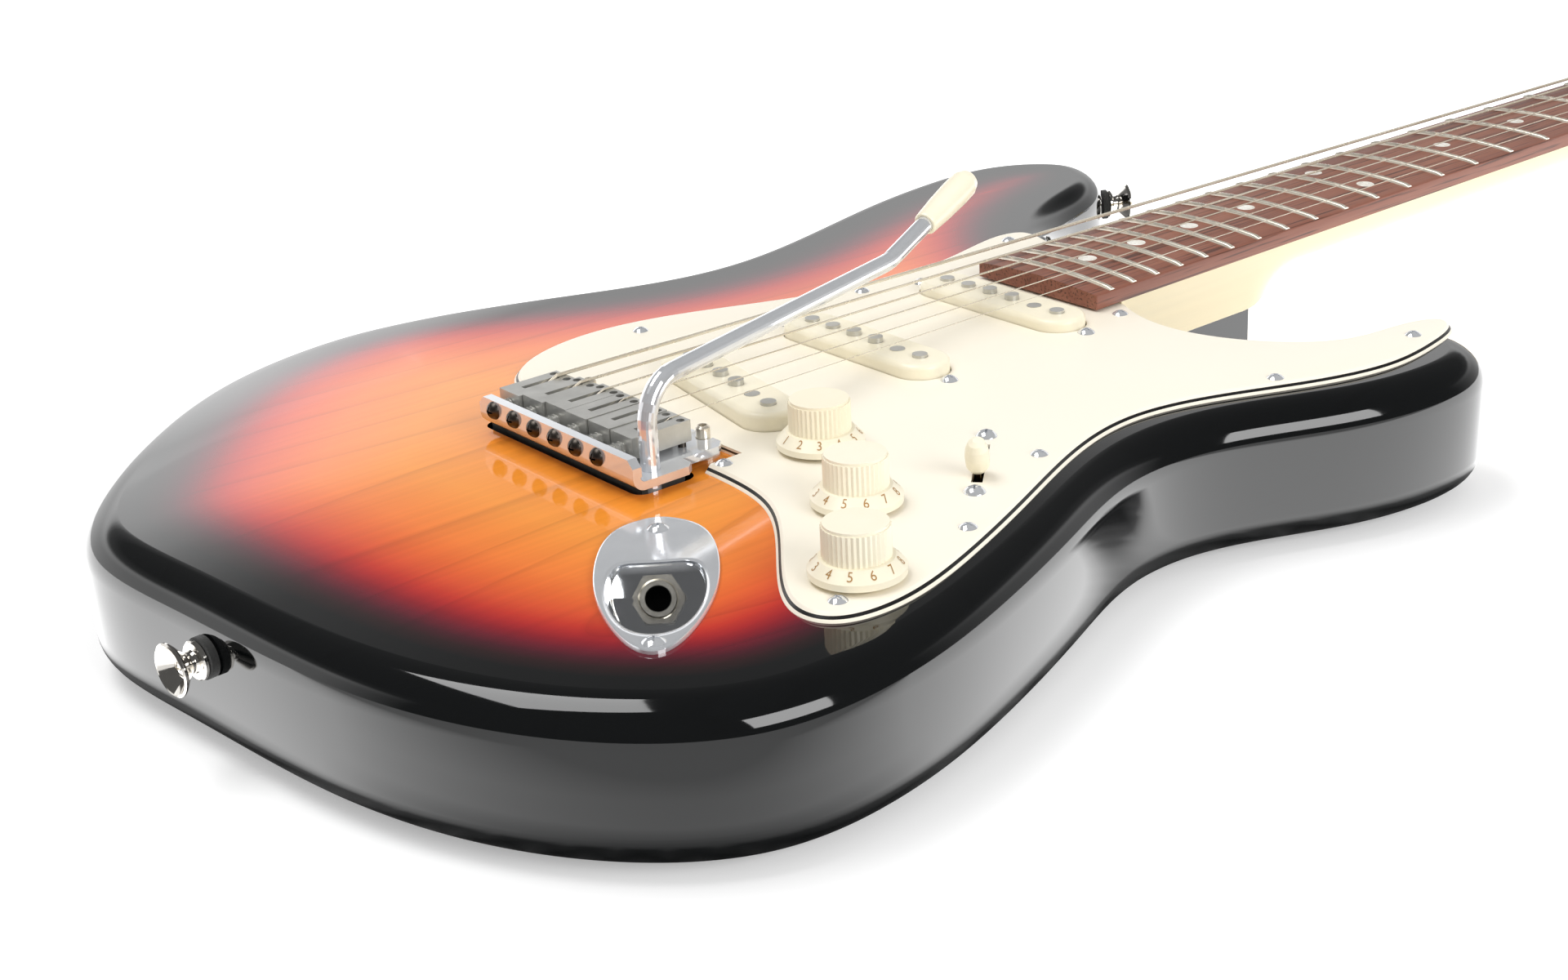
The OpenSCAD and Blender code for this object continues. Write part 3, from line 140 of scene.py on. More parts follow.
def half_w(x):
    return (NUT_W + (HEEL_W - NUT_W) * (SCALE - x) / (SCALE - POCKET_X)) / 2


# ---------- mesh helpers ----------

def curve(points, k):
    """Points on a closed cubic spline, k to a control point, and the outward normal at each."""
    p = np.array(points, float)
    a, b, c, d = np.roll(p, 1, 0), p, np.roll(p, -1, 0), np.roll(p, -2, 0)
    place, along = [], []
    for j in range(k):
        t = j / k
        place.append(((1 - t) ** 3 * a + (3 * t ** 3 - 6 * t * t + 4) * b
                      + (-3 * t ** 3 + 3 * t * t + 3 * t + 1) * c + t ** 3 * d) / 6)
        along.append(-(1 - t) ** 2 * a + (3 * t * t - 4 * t) * b
                     + (-3 * t * t + 2 * t + 1) * c + t * t * d)
    place = np.stack(place, 1).reshape(-1, 2)
    along = np.stack(along, 1).reshape(-1, 2)
    along /= np.linalg.norm(along, axis=1)[:, None]
    return place, np.stack([-along[:, 1], along[:, 0]], 1)


def swell(u, a, b):
    return np.where((u > a) & (u < b), np.sin(np.pi * (u - a) / (b - a)) ** 2, 0.0)


def quads(rows, count, close=False):
    """Faces between rows of points that each run round in a ring."""
    out = []
    for k in range(rows if close else rows - 1):
        q = (k + 1) % rows
        out += [(k * count + i, q * count + i, q * count + (i + 1) % count, k * count + (i + 1) % count)
                for i in range(count)]
    return out


def piece(name, verts, faces, material, body="guitar", sharp=32, stands_for=()):
    """A mesh from points in millimetres that rides on a body."""
    mesh = bpy.data.meshes.new(name)
    mesh.from_pydata((np.asarray(verts, float) * MM).tolist(), [], faces)
    mesh.validate()
    obj = bpy.data.objects.new(name, mesh)
    bpy.context.scene.collection.objects.link(obj)
    shade(obj, sharp)
    dress(obj, material)
    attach(obj, body)
    if stands_for:
        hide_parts(*stands_for)
    return obj


def shade(obj, sharp):
    obj.data.polygons.foreach_set("use_smooth", [True] * len(obj.data.polygons))
    obj.data.set_sharp_from_angle(angle=math.radians(sharp))


def dress(obj, material):
    obj.data.materials.clear()
    obj.data.materials.append(material)


def loft(rings):
    """Vertices and faces of a capped sweep through rings of equal length, with its faces outward."""
    rings = np.asarray(rings, float)
    rows, count = rings.shape[:2]
    faces = quads(rows, count)
    faces.append(tuple(range(count)))
    faces.append(tuple(reversed([(rows - 1) * count + i for i in range(count)])))
    verts = rings.reshape(-1, 3)
    mid = verts.mean(0)
    volume = sum(np.dot(verts[f[0]] - mid, np.cross(verts[f[k]] - mid, verts[f[k + 1]] - mid))
                 for f in faces for k in range(1, len(f) - 1))
    return verts, faces if volume > 0 else [f[::-1] for f in faces]


def prism(points, z0, z1):
    p = np.array(points, float)
    if np.sum(p[:, 0] * np.roll(p[:, 1], -1) - np.roll(p[:, 0], -1) * p[:, 1]) < 0:
        p = p[::-1]
    return loft([np.c_[p, np.full(len(p), z)] for z in (z1, z0)])


def box(x0, x1, y0, y1, z0, z1):
    return prism([(x0, y0), (x1, y0), (x1, y1), (x0, y1)], z0, z1)


def disc(x, y, r, z0, z1, count=48):
    return prism([(x + r * math.cos(2 * math.pi * i / count), y + r * math.sin(2 * math.pi * i / count))
                  for i in range(count)], z0, z1)


def rounded(x0, x1, half, r, count=8):
    """Outline of a rectangle with round corners, between x0 and x1 and as far as half to each side."""
    corners = [(x1 - r, half - r, 0), (x0 + r, half - r, 90),
               (x0 + r, r - half, 180), (x1 - r, r - half, 270)]
    return [(x + r * math.cos(math.radians(a)), y + r * math.sin(math.radians(a)))
            for x, y, start in corners for a in np.linspace(start, start + 90, count)]


def slot_shape(length, width, count=16):
    """Outline of a bar with round ends along Y."""
    r, s = width / 2, (length - width) / 2
    ends = [(r * math.cos(a), s + r * math.sin(a)) for a in np.linspace(0, math.pi, count)]
    return ends + [(-x, -y) for x, y in ends]


def placed(points, x, y, turn):
    c, s = math.cos(math.radians(turn)), math.sin(math.radians(turn))
    return [(x + c * a - s * b, y + s * a + c * b) for a, b in points]


def moved(solid, matrix):
    verts, faces = solid
    return [matrix @ Vector(v) for v in verts], faces


def combine(obj, solid, operation):
    verts, faces = solid
    mesh = bpy.data.meshes.new("tool")
    mesh.from_pydata([tuple(c * MM for c in v) for v in verts], [], faces)
    tool = bpy.data.objects.new("tool", mesh)
    bpy.context.scene.collection.objects.link(tool)
    mod = obj.modifiers.new(operation, "BOOLEAN")
    mod.object, mod.operation, mod.solver = tool, operation, "MANIFOLD"
    bpy.context.view_layer.update()
    done = bpy.data.meshes.new_from_object(obj.evaluated_get(bpy.context.evaluated_depsgraph_get()))
    obj.modifiers.clear()
    obj.data = done
    bpy.data.objects.remove(tool)


def join(obj, solid):
    combine(obj, solid, "UNION")


def cut(obj, solids):
    """Takes closed solids out of a piece."""
    for solid in solids:
        combine(obj, solid, "DIFFERENCE")


def filled(ring, z, step, up):
    """A flat sheet inside a ring at height z, with a grid of points so that colour can vary over it."""
    lo, hi = ring.min(0), ring.max(0)
    xs, ys = np.meshgrid(np.arange(lo[0], hi[0], step), np.arange(lo[1], hi[1], step))
    grid = np.c_[xs.ravel(), ys.ravel()]
    grid = grid[np.array([inside(q, ring) for q in grid])]
    gap = distance(grid, ring)
    grid = grid[gap > step * 0.5]
    pts = [Vector(q) for q in np.r_[ring, grid]]
    v, _, f, *_ = geometry.delaunay_2d_cdt(pts, [], [list(range(len(ring)))], 1, 1e-5)
    faces = []
    for t in f:
        a, b, c = (v[i] for i in t[:3])
        turn = (b - a).cross(c - a) > 0
        faces.append(tuple(t) if turn == up else tuple(reversed(t)))
    return [(q.x, q.y, z) for q in v], faces


def inside(q, ring):
    a, b = ring, np.roll(ring, -1, 0)
    hit = (a[:, 1] > q[1]) != (b[:, 1] > q[1])
    with np.errstate(divide="ignore", invalid="ignore"):
        x = (b[:, 0] - a[:, 0]) * (q[1] - a[:, 1]) / (b[:, 1] - a[:, 1]) + a[:, 0]
    return bool(np.sum(hit & (q[0] < x)) % 2)


def distance(points, ring):
    """Distance from each point to a closed outline."""
    a, b = ring, np.roll(ring, -1, 0)
    ab = b - a
    out = np.full(len(points), 1e9)
    for k in range(len(a)):
        ap = points - a[k]
        t = np.clip(ap @ ab[k] / (ab[k] @ ab[k]), 0, 1)
        out = np.minimum(out, np.linalg.norm(ap - t[:, None] * ab[k], axis=1))
    return out


# ---------- materials ----------

class Graph:
    """A node tree with short ways to add nodes. An input is a number, a tuple or another node's output."""

    def __init__(self, tree, place="Object"):
        self.nodes, self.links = tree.nodes, tree.links
        self.nodes.clear()
        self.place = self.nodes.new("ShaderNodeTexCoord").outputs[place]

    def new(self, kind, *inputs, **settings):
        node = self.nodes.new(kind)
        for key, value in settings.items():
            setattr(node, key, value)
        for value, socket in zip(inputs, node.inputs):
            self.feed(value, socket)
        return node

    def feed(self, value, socket):
        if isinstance(value, bpy.types.NodeSocket):
            self.links.new(value, socket)
        elif value is not None and socket.type == "RGBA":
            socket.default_value = (*value, 1) if isinstance(value, tuple) else (value, value, value, 1)
        elif value is not None:
            socket.default_value = value

    def stretched(self, stretch):
        return self.new("ShaderNodeMapping", self.place, None, None, stretch).outputs[0]

    def noise(self, scale, stretch=(1, 1, 1), detail=4.0, rough=0.55):
        node = self.new("ShaderNodeTexNoise", self.stretched(stretch))
        for socket, value in (("Scale", scale), ("Detail", detail), ("Roughness", rough)):
            node.inputs[socket].default_value = value
        return node.outputs["Fac"]

    def waves(self, scale, stretch=(1, 1, 1), distortion=0.0):
        node = self.new("ShaderNodeTexWave", self.stretched(stretch))
        for socket, value in (("Scale", scale), ("Distortion", distortion)):
            node.inputs[socket].default_value = value
        return node.outputs["Fac"]

    def ramp(self, value, stops, kind="LINEAR"):
        node = self.new("ShaderNodeValToRGB", value)
        node.color_ramp.interpolation = kind
        band = node.color_ramp.elements
        while len(band) < len(stops):
            band.new(0.5)
        for e, (at, colour) in zip(band, stops):
            e.position = at
            e.color = (*colour, 1) if isinstance(colour, tuple) else (colour, colour, colour, 1)
        return node.outputs["Color"]

    def span(self, value, low, high, a=0.0, b=1.0):
        return self.new("ShaderNodeMapRange", value, a, b, low, high).outputs["Result"]

    def math(self, kind, *values):
        return self.new("ShaderNodeMath", *values, operation=kind).outputs[0]

    def mix(self, a, b, factor, kind="MIX"):
        node = self.new("ShaderNodeMix", factor, data_type="RGBA", blend_type=kind)
        self.feed(a, node.inputs[6])
        self.feed(b, node.inputs[7])
        return node.outputs[2]

    def tint(self, a, b):
        return self.mix(a, b, 1.0, "MULTIPLY")

    def height(self):
        return self.new("ShaderNodeSeparateXYZ", self.place).outputs["Z"]

    def field(self, name):
        return self.new("ShaderNodeAttribute", attribute_name=name).outputs["Fac"]


class Paint(Graph):
    """A procedural material: one shader and the nodes that feed it."""

    def __init__(self, name, rough=0.4, metal=0.0, coat=0.0, ior=1.5):
        self.mat = bpy.data.materials.new(name)
        self.mat.use_nodes = True
        super().__init__(self.mat.node_tree)
        self.shader = self.new("ShaderNodeBsdfPrincipled")
        self.new("ShaderNodeOutputMaterial", self.shader.outputs[0])
        for socket, value in (("Roughness", rough), ("Metallic", metal), ("Coat Weight", coat),
                              ("Coat Roughness", 0.1), ("IOR", ior)):
            self.shader.inputs[socket].default_value = value
        self.bumps = None

    def colour(self, value):
        self.set("Base Color", value)

    def set(self, socket, value):
        self.feed(value, self.shader.inputs[socket])

    def bump(self, value, strength, depth):
        node = self.new("ShaderNodeBump", strength, depth * MM)
        self.feed(value, node.inputs["Height"])
        self.feed(self.bumps, node.inputs["Normal"])
        self.bumps = node.outputs["Normal"]
        self.set("Normal", self.bumps)


def srgb(r, g, b):
    """A colour as a designer writes it, 0 to 255, in the renderer's linear units."""
    return tuple((c / 255 / 12.92) if c <= 10 else ((c / 255 + 0.055) / 1.055) ** 2.4 for c in (r, g, b))


def sunburst():
    m = Paint("sunburst_lacquer", rough=0.045, ior=1.6)
    wobble = m.span(m.noise(9, detail=2), -0.012, 0.012)
    burst = m.ramp(m.math("ADD", m.field("burst"), wobble), [
        (0.00, srgb(9, 11, 12)), (0.17, srgb(11, 12, 13)), (0.22, srgb(41, 18, 20)), (0.26, srgb(70, 17, 30)),
        (0.30, srgb(106, 18, 36)), (0.34, srgb(140, 20, 33)), (0.38, srgb(174, 34, 34)),
        (0.42, srgb(198, 51, 34)), (0.48, srgb(219, 80, 40)), (0.56, srgb(232, 104, 42)),
        (0.66, srgb(244, 128, 50)), (0.90, srgb(250, 154, 56))])
    grain = m.span(m.noise(60, (0.12, 2.2, 2.2), 6, 0.6), 0.90, 1.07)
    streaks = m.span(m.noise(160, (0.03, 3.0, 3.0), 3, 0.5), 0.86, 1.06)
    years = m.math("FRACT", m.math("MULTIPLY", m.noise(5.5, (0.16, 1.0, 1.0), 1.6, 0.4), 26.0))
    rings = m.ramp(years, [(0.0, 0.84), (0.10, 0.95), (0.30, 1.0), (0.97, 1.0), (1.0, 0.9)])
    m.colour(m.tint(m.tint(m.tint(burst, grain), streaks), rings))
    m.set("Roughness", m.span(m.noise(40), 0.04, 0.07))
    m.bump(m.noise(28, detail=2), 0.05, 0.2)
    return m.mat


def ply():
    m = Paint("three_ply_plastic", rough=0.28, ior=1.5)
    z0 = (TOP + 0.8) * MM
    z1 = (TOP + 1.5) * MM
    edge = 0.001 / (z1 - z0 + 0.002)
    layer = m.ramp(m.span(m.height(), 0, 1, z0 - 0.001, z1 + 0.001), [(0.0, 0), (edge, 1), (1 - edge, 0)],
                   "CONSTANT")
    cream = m.ramp(m.noise(5, detail=2), [(0.3, srgb(250, 242, 223)), (0.7, srgb(252, 245, 229))])
    dark = m.ramp(m.noise(300), [(0.3, srgb(16, 16, 16)), (0.7, srgb(28, 27, 26))])
    m.colour(m.mix(cream, dark, layer))
    m.set("Roughness", m.span(m.noise(90, detail=6), 0.31, 0.36))
    m.bump(m.noise(500, detail=3), 0.04, 0.02)
    return m.mat


def plastic(name, dark, light, rough=0.3, speck=0.04, depth=0.02):
    m = Paint(name, rough=rough)
    base = m.ramp(m.noise(25, detail=4), [(0.3, dark), (0.7, light)])
    specks = m.span(m.noise(1400, detail=2), 1 - speck, 1.0)
    m.colour(m.tint(base, specks))
    m.set("Roughness", m.span(m.noise(220, detail=6), rough - 0.02, rough + 0.05))
    m.bump(m.noise(900, detail=3), 0.06, depth)
    return m.mat


def metal(name, dark, light, rough, scratch=0.05, stretch=(1, 1, 1), depth=0.01, mirror=1.0):
    m = Paint(name, rough=rough, metal=mirror)
    m.colour(m.ramp(m.noise(120, detail=5), [(0.25, dark), (0.75, light)]))
    m.set("Roughness", m.span(m.noise(700, stretch, 6, 0.6), max(0.02, rough - scratch), rough + scratch))
    m.bump(m.noise(1500, stretch, 3), 0.06, depth)
    return m.mat


def maple():
    m = Paint("satin_maple", rough=0.4, coat=0.3)
    wide = m.ramp(m.noise(14, (0.12, 1.6, 1.6), 5, 0.6), [
        (0.25, srgb(246, 226, 180)), (0.5, srgb(250, 234, 194)), (0.8, srgb(253, 241, 208))])
    fine = m.span(m.noise(260, (0.02, 1.4, 1.4), 4), 0.93, 1.03)
    m.colour(m.tint(wide, fine))
    m.set("Roughness", m.span(m.noise(150, (0.1, 1, 1)), 0.34, 0.48))
    m.bump(m.noise(300, (0.03, 1, 1), 4), 0.12, 0.04)
    return m.mat


def rosewood():
    m = Paint("rosewood", rough=0.5)
    wide = m.ramp(m.noise(30, (0.08, 1.4, 1.4), 6, 0.62), [
        (0.25, srgb(96, 52, 40)), (0.5, srgb(138, 84, 66)), (0.75, srgb(166, 112, 90))])
    pores = m.ramp(m.noise(900, (0.02, 1.2, 1.2), 3), [(0.36, srgb(60, 40, 30)), (0.46, 1.0)])
    m.colour(m.mix(wide, pores, 0.7, "MULTIPLY"))
    m.set("Roughness", m.span(m.noise(200, (0.05, 1, 1)), 0.36, 0.55))
    m.bump(pores, 0.25, 0.06)
    return m.mat


def felt():
    m = Paint("black_felt", rough=0.95)
    m.colour(m.ramp(m.noise(1600, detail=6, rough=0.8), [(0.3, srgb(14, 14, 14)), (0.8, srgb(52, 52, 50))]))
    m.shader.inputs["Sheen Weight"].default_value = 0.3
    m.bump(m.noise(1400, detail=6, rough=0.8), 0.8, 0.25)
    return m.mat


def string_wire():
    """Bright steel, with the fine ribs of a winding on the three low strings."""
    m = Paint("string_wire", rough=0.25, metal=0.45)
    m.colour(m.ramp(m.noise(300, (0.1, 1, 1), 4), [(0.3, srgb(214, 202, 180)), (0.7, srgb(238, 230, 212))]))
    across = m.new("ShaderNodeSeparateXYZ", m.place).outputs["Y"]
    wound = m.span(across, 0.0, 1.0, -0.002, 0.002)
    m.set("Roughness", m.span(m.noise(500), 0.2, 0.32))
    m.bump(m.math("MULTIPLY", m.waves(900), wound), 0.6, 0.04)
    return m.mat


def cup_chrome():
    """Chrome that is a full mirror down in the cup; on the plate round it, part of it is a pale diffuse
    colour, a painted reflection of the white surroundings.
    """
    m = Paint("cup_chrome", rough=0.08)
    m.colour(m.ramp(m.noise(120, detail=5), [(0.25, (0.78, 0.80, 0.83)), (0.75, (0.84, 0.86, 0.89))]))
    # part mirror from the plate's level up: its pale diffuse share is a painted reflection
    m.set("Metallic", m.span(m.height(), 1.0, 0.6, (TOP - 2) * MM, (TOP + 0.5) * MM))
    m.set("Roughness", m.span(m.noise(700, detail=6), 0.06, 0.13))
    m.bump(m.noise(240, detail=4), 0.08, 0.1)
    return m.mat


def jack_metal():
    """Bright nickel, with painted shade: the bore along the plug near-black."""
    m = Paint("jack_metal", rough=0.16, metal=0.8)
    turn, tilt = math.radians(JACK[2]), PLUG[2]
    axis = (math.cos(turn) * math.cos(tilt), math.sin(turn) * math.cos(tilt), -math.sin(tilt))
    start = ((JACK[0] + PLUG[0] * math.cos(turn)) * MM, (JACK[1] + PLUG[0] * math.sin(turn)) * MM,
             (TOP + PLUG[1]) * MM)
    from_start = m.new("ShaderNodeVectorMath", m.place, start, operation="SUBTRACT").outputs["Vector"]
    off = m.new("ShaderNodeVectorMath", from_start, axis, operation="CROSS_PRODUCT").outputs["Vector"]
    radius = m.new("ShaderNodeVectorMath", off, operation="LENGTH").outputs["Value"]
    # painted shade: near-black inside the bore, where the hole lies in shadow
    bore = m.span(radius, 0.0, 1.0, 0.0033, 0.0036)
    bright = m.ramp(m.noise(500, detail=4), [(0.3, srgb(206, 202, 192)), (0.7, srgb(238, 234, 224))])
    m.colour(m.mix((0.006, 0.006, 0.006), bright, bore))
    m.set("Roughness", m.span(m.noise(900), 0.12, 0.24))
    m.bump(m.noise(1200, detail=4), 0.1, 0.02)
    return m.mat


def pearl():
    m = Paint("pearl_dot", rough=0.25, coat=0.6)
    m.colour(m.ramp(m.noise(260, detail=3), [(0.3, srgb(214, 208, 192)), (0.7, srgb(246, 244, 236))]))
    m.set("Roughness", m.span(m.noise(420), 0.15, 0.4))
    return m.mat


def bone():
    m = Paint("bone", rough=0.35)
    m.colour(m.ramp(m.noise(180, (0.2, 1, 1), 4), [(0.3, srgb(226, 214, 186)), (0.7, srgb(240, 231, 208))]))
    m.set("Roughness", m.span(m.noise(400), 0.28, 0.45))
    m.bump(m.noise(700), 0.05, 0.02)
    return m.mat


paints = {
    "sunburst": sunburst(),
    "white_plastic": ply(),
    "aged_plastic": plastic("aged_plastic", srgb(248, 239, 212), srgb(252, 245, 224), 0.28),
    "figures": plastic("gold_print", srgb(168, 126, 70), srgb(192, 150, 92), 0.35),
    "black_plastic": plastic("black_plastic", srgb(16, 15, 15), srgb(30, 28, 28), 0.35),
    # chrome and nickel are only part mirror: the rest shows as a pale diffuse colour, a painted reflection of
    # the white surroundings
    "chrome": metal("chrome", (0.78, 0.80, 0.83), (0.84, 0.86, 0.89), 0.08, 0.03, mirror=0.6),
    "nickel": metal("nickel", srgb(214, 206, 190), srgb(236, 229, 214), 0.2, mirror=0.6),
    "steel": metal("steel", srgb(184, 183, 178), srgb(210, 209, 204), 0.3, mirror=0.7),
    "dark_steel": metal("dark_steel", srgb(60, 56, 52), srgb(98, 92, 86), 0.36),
    "cast_block": metal("cast_block", srgb(106, 105, 102), srgb(136, 134, 130), 0.55, 0.1, depth=0.05),
    "brass": metal("brass", srgb(186, 150, 86), srgb(216, 182, 112), 0.24),
    "maple": maple(),
    "rosewood": rosewood(),
    "pearl": pearl(),
    "bone": bone(),
    "felt": felt(),
    "string_wire": string_wire(),
    "cup_chrome": cup_chrome(),
    "jack_metal": jack_metal(),
    "button_metal": metal("button_metal", srgb(206, 202, 196), srgb(228, 225, 219), 0.1),
}
OWN_PAINT = {"strings": "string_wire", "jack_socket": "jack_metal", "strap_buttons": "button_metal",
             "strap_screws": "button_metal"}


# ---------- pieces kept from the CAD part ----------

slots = {s["node"]: s["material_slot"] for s in frame["record"]["subparts"]}
for name, obj in frame["nodes"].items():
    obj.data.materials.clear()
    obj.data.materials.append(paints[OWN_PAINT.get(name, slots[name])])


# ---------- body ----------

def body_rings():
    place, out = curve(BODY_PTS, BODY_STEPS)
    u = np.arange(len(place)) / BODY_STEPS
    arm_w = EDGE_R + 3 + (ARM_CUT_W - EDGE_R) * swell(u, *ARM_SPAN)
    arm_z = ARM_CUT * swell(u, *ARM_SPAN)
    belly_w = EDGE_R + 3 + (BELLY_CUT_W - EDGE_R) * swell(u, *BELLY_SPAN)
    belly_z = BELLY_CUT * swell(u, *BELLY_SPAN)
    core = np.maximum(arm_w, belly_w) + 2

    def ring(s, z):
        q = place - out * np.broadcast_to(s, (len(place),))[:, None]
        return np.c_[q, np.broadcast_to(z, (len(place),))]

    rings = [ring(core, BACK)]
    for a in np.linspace(1, 0.08, 13):
        s = EDGE_R + (belly_w - EDGE_R) * a
        rings.append(ring(s, BACK + belly_z * (1 - s / belly_w) ** 2))
    for a in np.linspace(90, 0, 11):
        s = EDGE_R * (1 - math.cos(math.radians(a)))
        z = EDGE_R * (1 - math.sin(math.radians(a)))
        rings.append(ring(s, BACK + belly_z * (1 - s / belly_w) ** 2 + z))
    for a in np.linspace(0, 90, 11):
        s = EDGE_R * (1 - math.cos(math.radians(a)))
        z = EDGE_R * (1 - math.sin(math.radians(a)))
        rings.append(ring(s, TOP - arm_z * (1 - s / arm_w) ** 2 - z))
    for a in np.linspace(0.08, 1, 15):
        s = EDGE_R + (arm_w - EDGE_R) * a
        rings.append(ring(s, TOP - arm_z * (1 - s / arm_w) ** 2))
    rings.append(ring(core, TOP))
    return place, np.array(rings)


def jack_place():
    return Matrix.Translation((JACK[0], JACK[1], TOP)) @ Matrix.Rotation(math.radians(JACK[2]), 4, "Z")


def cup_ring(shape, grow, along=None, level=None):
    """The cup's section, slid along the plug: to one distance, or to where it meets a level of the plate."""
    x0, z0, tilt = PLUG
    out = []
    for y, up in np.asarray(shape) * grow:
        a = along if level is None else (z0 - level + up * math.cos(tilt)) / math.sin(tilt)
        out.append((x0 + a * math.cos(tilt) + up * math.sin(tilt), y,
                    z0 - a * math.sin(tilt) + up * math.cos(tilt)))
    return out


def body_cutters():
    plug = jack_place()
    out = [prism([(POCKET_X, -half_w(POCKET_X)), (290, -half_w(290)), (290, half_w(290)),
                  (POCKET_X, half_w(POCKET_X))], TOP - POCKET_D, TOP + 5)]
    for x, turn in PICKUPS:
        well = placed([(-12, -46), (12, -46), (12, 46), (-12, 46)], x, 0, turn)
        out.append(prism(well, TOP - PICKUP_ROUT, TOP + 1))
    out.append(prism([(24, -40), (50, -40), (62, -62), (84, -64), (84, -86), (52, -110), (34, -115),
                      (4, -126), (-20, -122), (-4, -86), (8, -68)], TOP - CONTROL_ROUT, TOP + 1))
    out += [disc(x, y, POT_R, TOP - CONTROL_ROUT, TOP + 1) for x, y in KNOBS]
    switch_well = placed([(-26, -9.8), (26, -9.8), (26, 8.2), (-26, 8.2)], *SWITCH)
    out.append(prism(switch_well, TOP - CONTROL_ROUT, TOP + 1))
    out.append(prism(rounded(BLOCK_ROUT[0], BLOCK_ROUT[1], 40, 4), BACK - 1, TOP - 5))
    out.append(prism(rounded(BLOCK_ROUT[0] + 3, BLOCK_ROUT[1], 40, 4), TOP - 6, TOP + 1))
    out.append(box(-19, 118, -29, 29, BACK - 1, BACK + SPRING_ROUT))
    section = curve(CUP_PTS, 6)[0]
    for solid in (disc(2, 0, 15, -30, 1), disc(16, 0, 12, -30, 1),
                  loft([cup_ring(section, 1.1, level=1), cup_ring(section, 1.1, along=1.6)])):
        out.append(moved(solid, plug))
    return out


def make_body():
    outline, rings = body_rings()
    rows, count = rings.shape[:2]
    verts, faces = [tuple(v) for v in rings.reshape(-1, 3)], quads(rows, count)
    for row, up in ((0, False), (rows - 1, True)):
        sheet, tris = filled(rings[row][:, :2], rings[row][0, 2], 4.0, up)
        index = [row * count + i for i in range(count)]
        index += [len(verts) + i for i in range(len(sheet) - count)]
        verts += sheet[count:]
        faces += [tuple(index[i] for i in t) for t in tris]
    obj = piece("sunburst_body", verts, faces, paints["sunburst"], stands_for=("body",))
    x0, x1 = POCKET_X - 30, HEEL_X1 - 0.05
    join(obj, prism([(x0, -half_w(POCKET_X)), (x1 - 4, 0.2 - half_w(x1)), (x1, 4 - half_w(x1)),
                     (x1, half_w(x1) - 4), (x1 - 4, half_w(x1) - 0.2), (x0, half_w(POCKET_X))],
                    BACK, TOP - POCKET_D))
    cut(obj, body_cutters())
    shade(obj, 34)
    co = np.zeros(len(obj.data.vertices) * 3)
    obj.data.vertices.foreach_get("co", co)
    flat = co.reshape(-1, 3)[:, :2] / MM
    depth = np.where([inside(q, outline) for q in flat], distance(flat, outline), 0.0)
    centres = np.array([f.center for f in obj.data.polygons]) / MM
    # walls and floors of the routes get burst 0, the near-black of the edge: painted shade in the cavities
    steep = np.array([abs(f.normal.z) < 0.5 for f in obj.data.polygons])
    buried = (centres[:, 2] > BACK + 14) & (centres[:, 2] < TOP - 7.5)
    painted_shade_faces = (steep | buried) & (distance(centres[:, :2], outline) > EDGE_R + 1)
    corner = np.zeros(len(obj.data.loops))
    for face, dark in zip(obj.data.polygons, painted_shade_faces):
        for k in face.loop_indices:
            corner[k] = 0.0 if dark else depth[obj.data.loops[k].vertex_index] / FIELD
    obj.data.attributes.new("burst", "FLOAT", "CORNER").data.foreach_set("value", corner)


make_body()


# ---------- jack ----------

def ring_solid(rings):
    """A closed skin through rings that come back to the first."""
    rings = np.asarray(rings, float)
    rows, count = rings.shape[:2]
    faces = quads(rows, count, close=True)
    v = rings.reshape(-1, 3)
    mid = v.mean(0)
    volume = sum(np.dot(v[f[0]] - mid, np.cross(v[f[k]] - mid, v[f[k + 1]] - mid))
                 for f in faces for k in (1, 2))
    return v, faces if volume > 0 else [f[::-1] for f in faces]


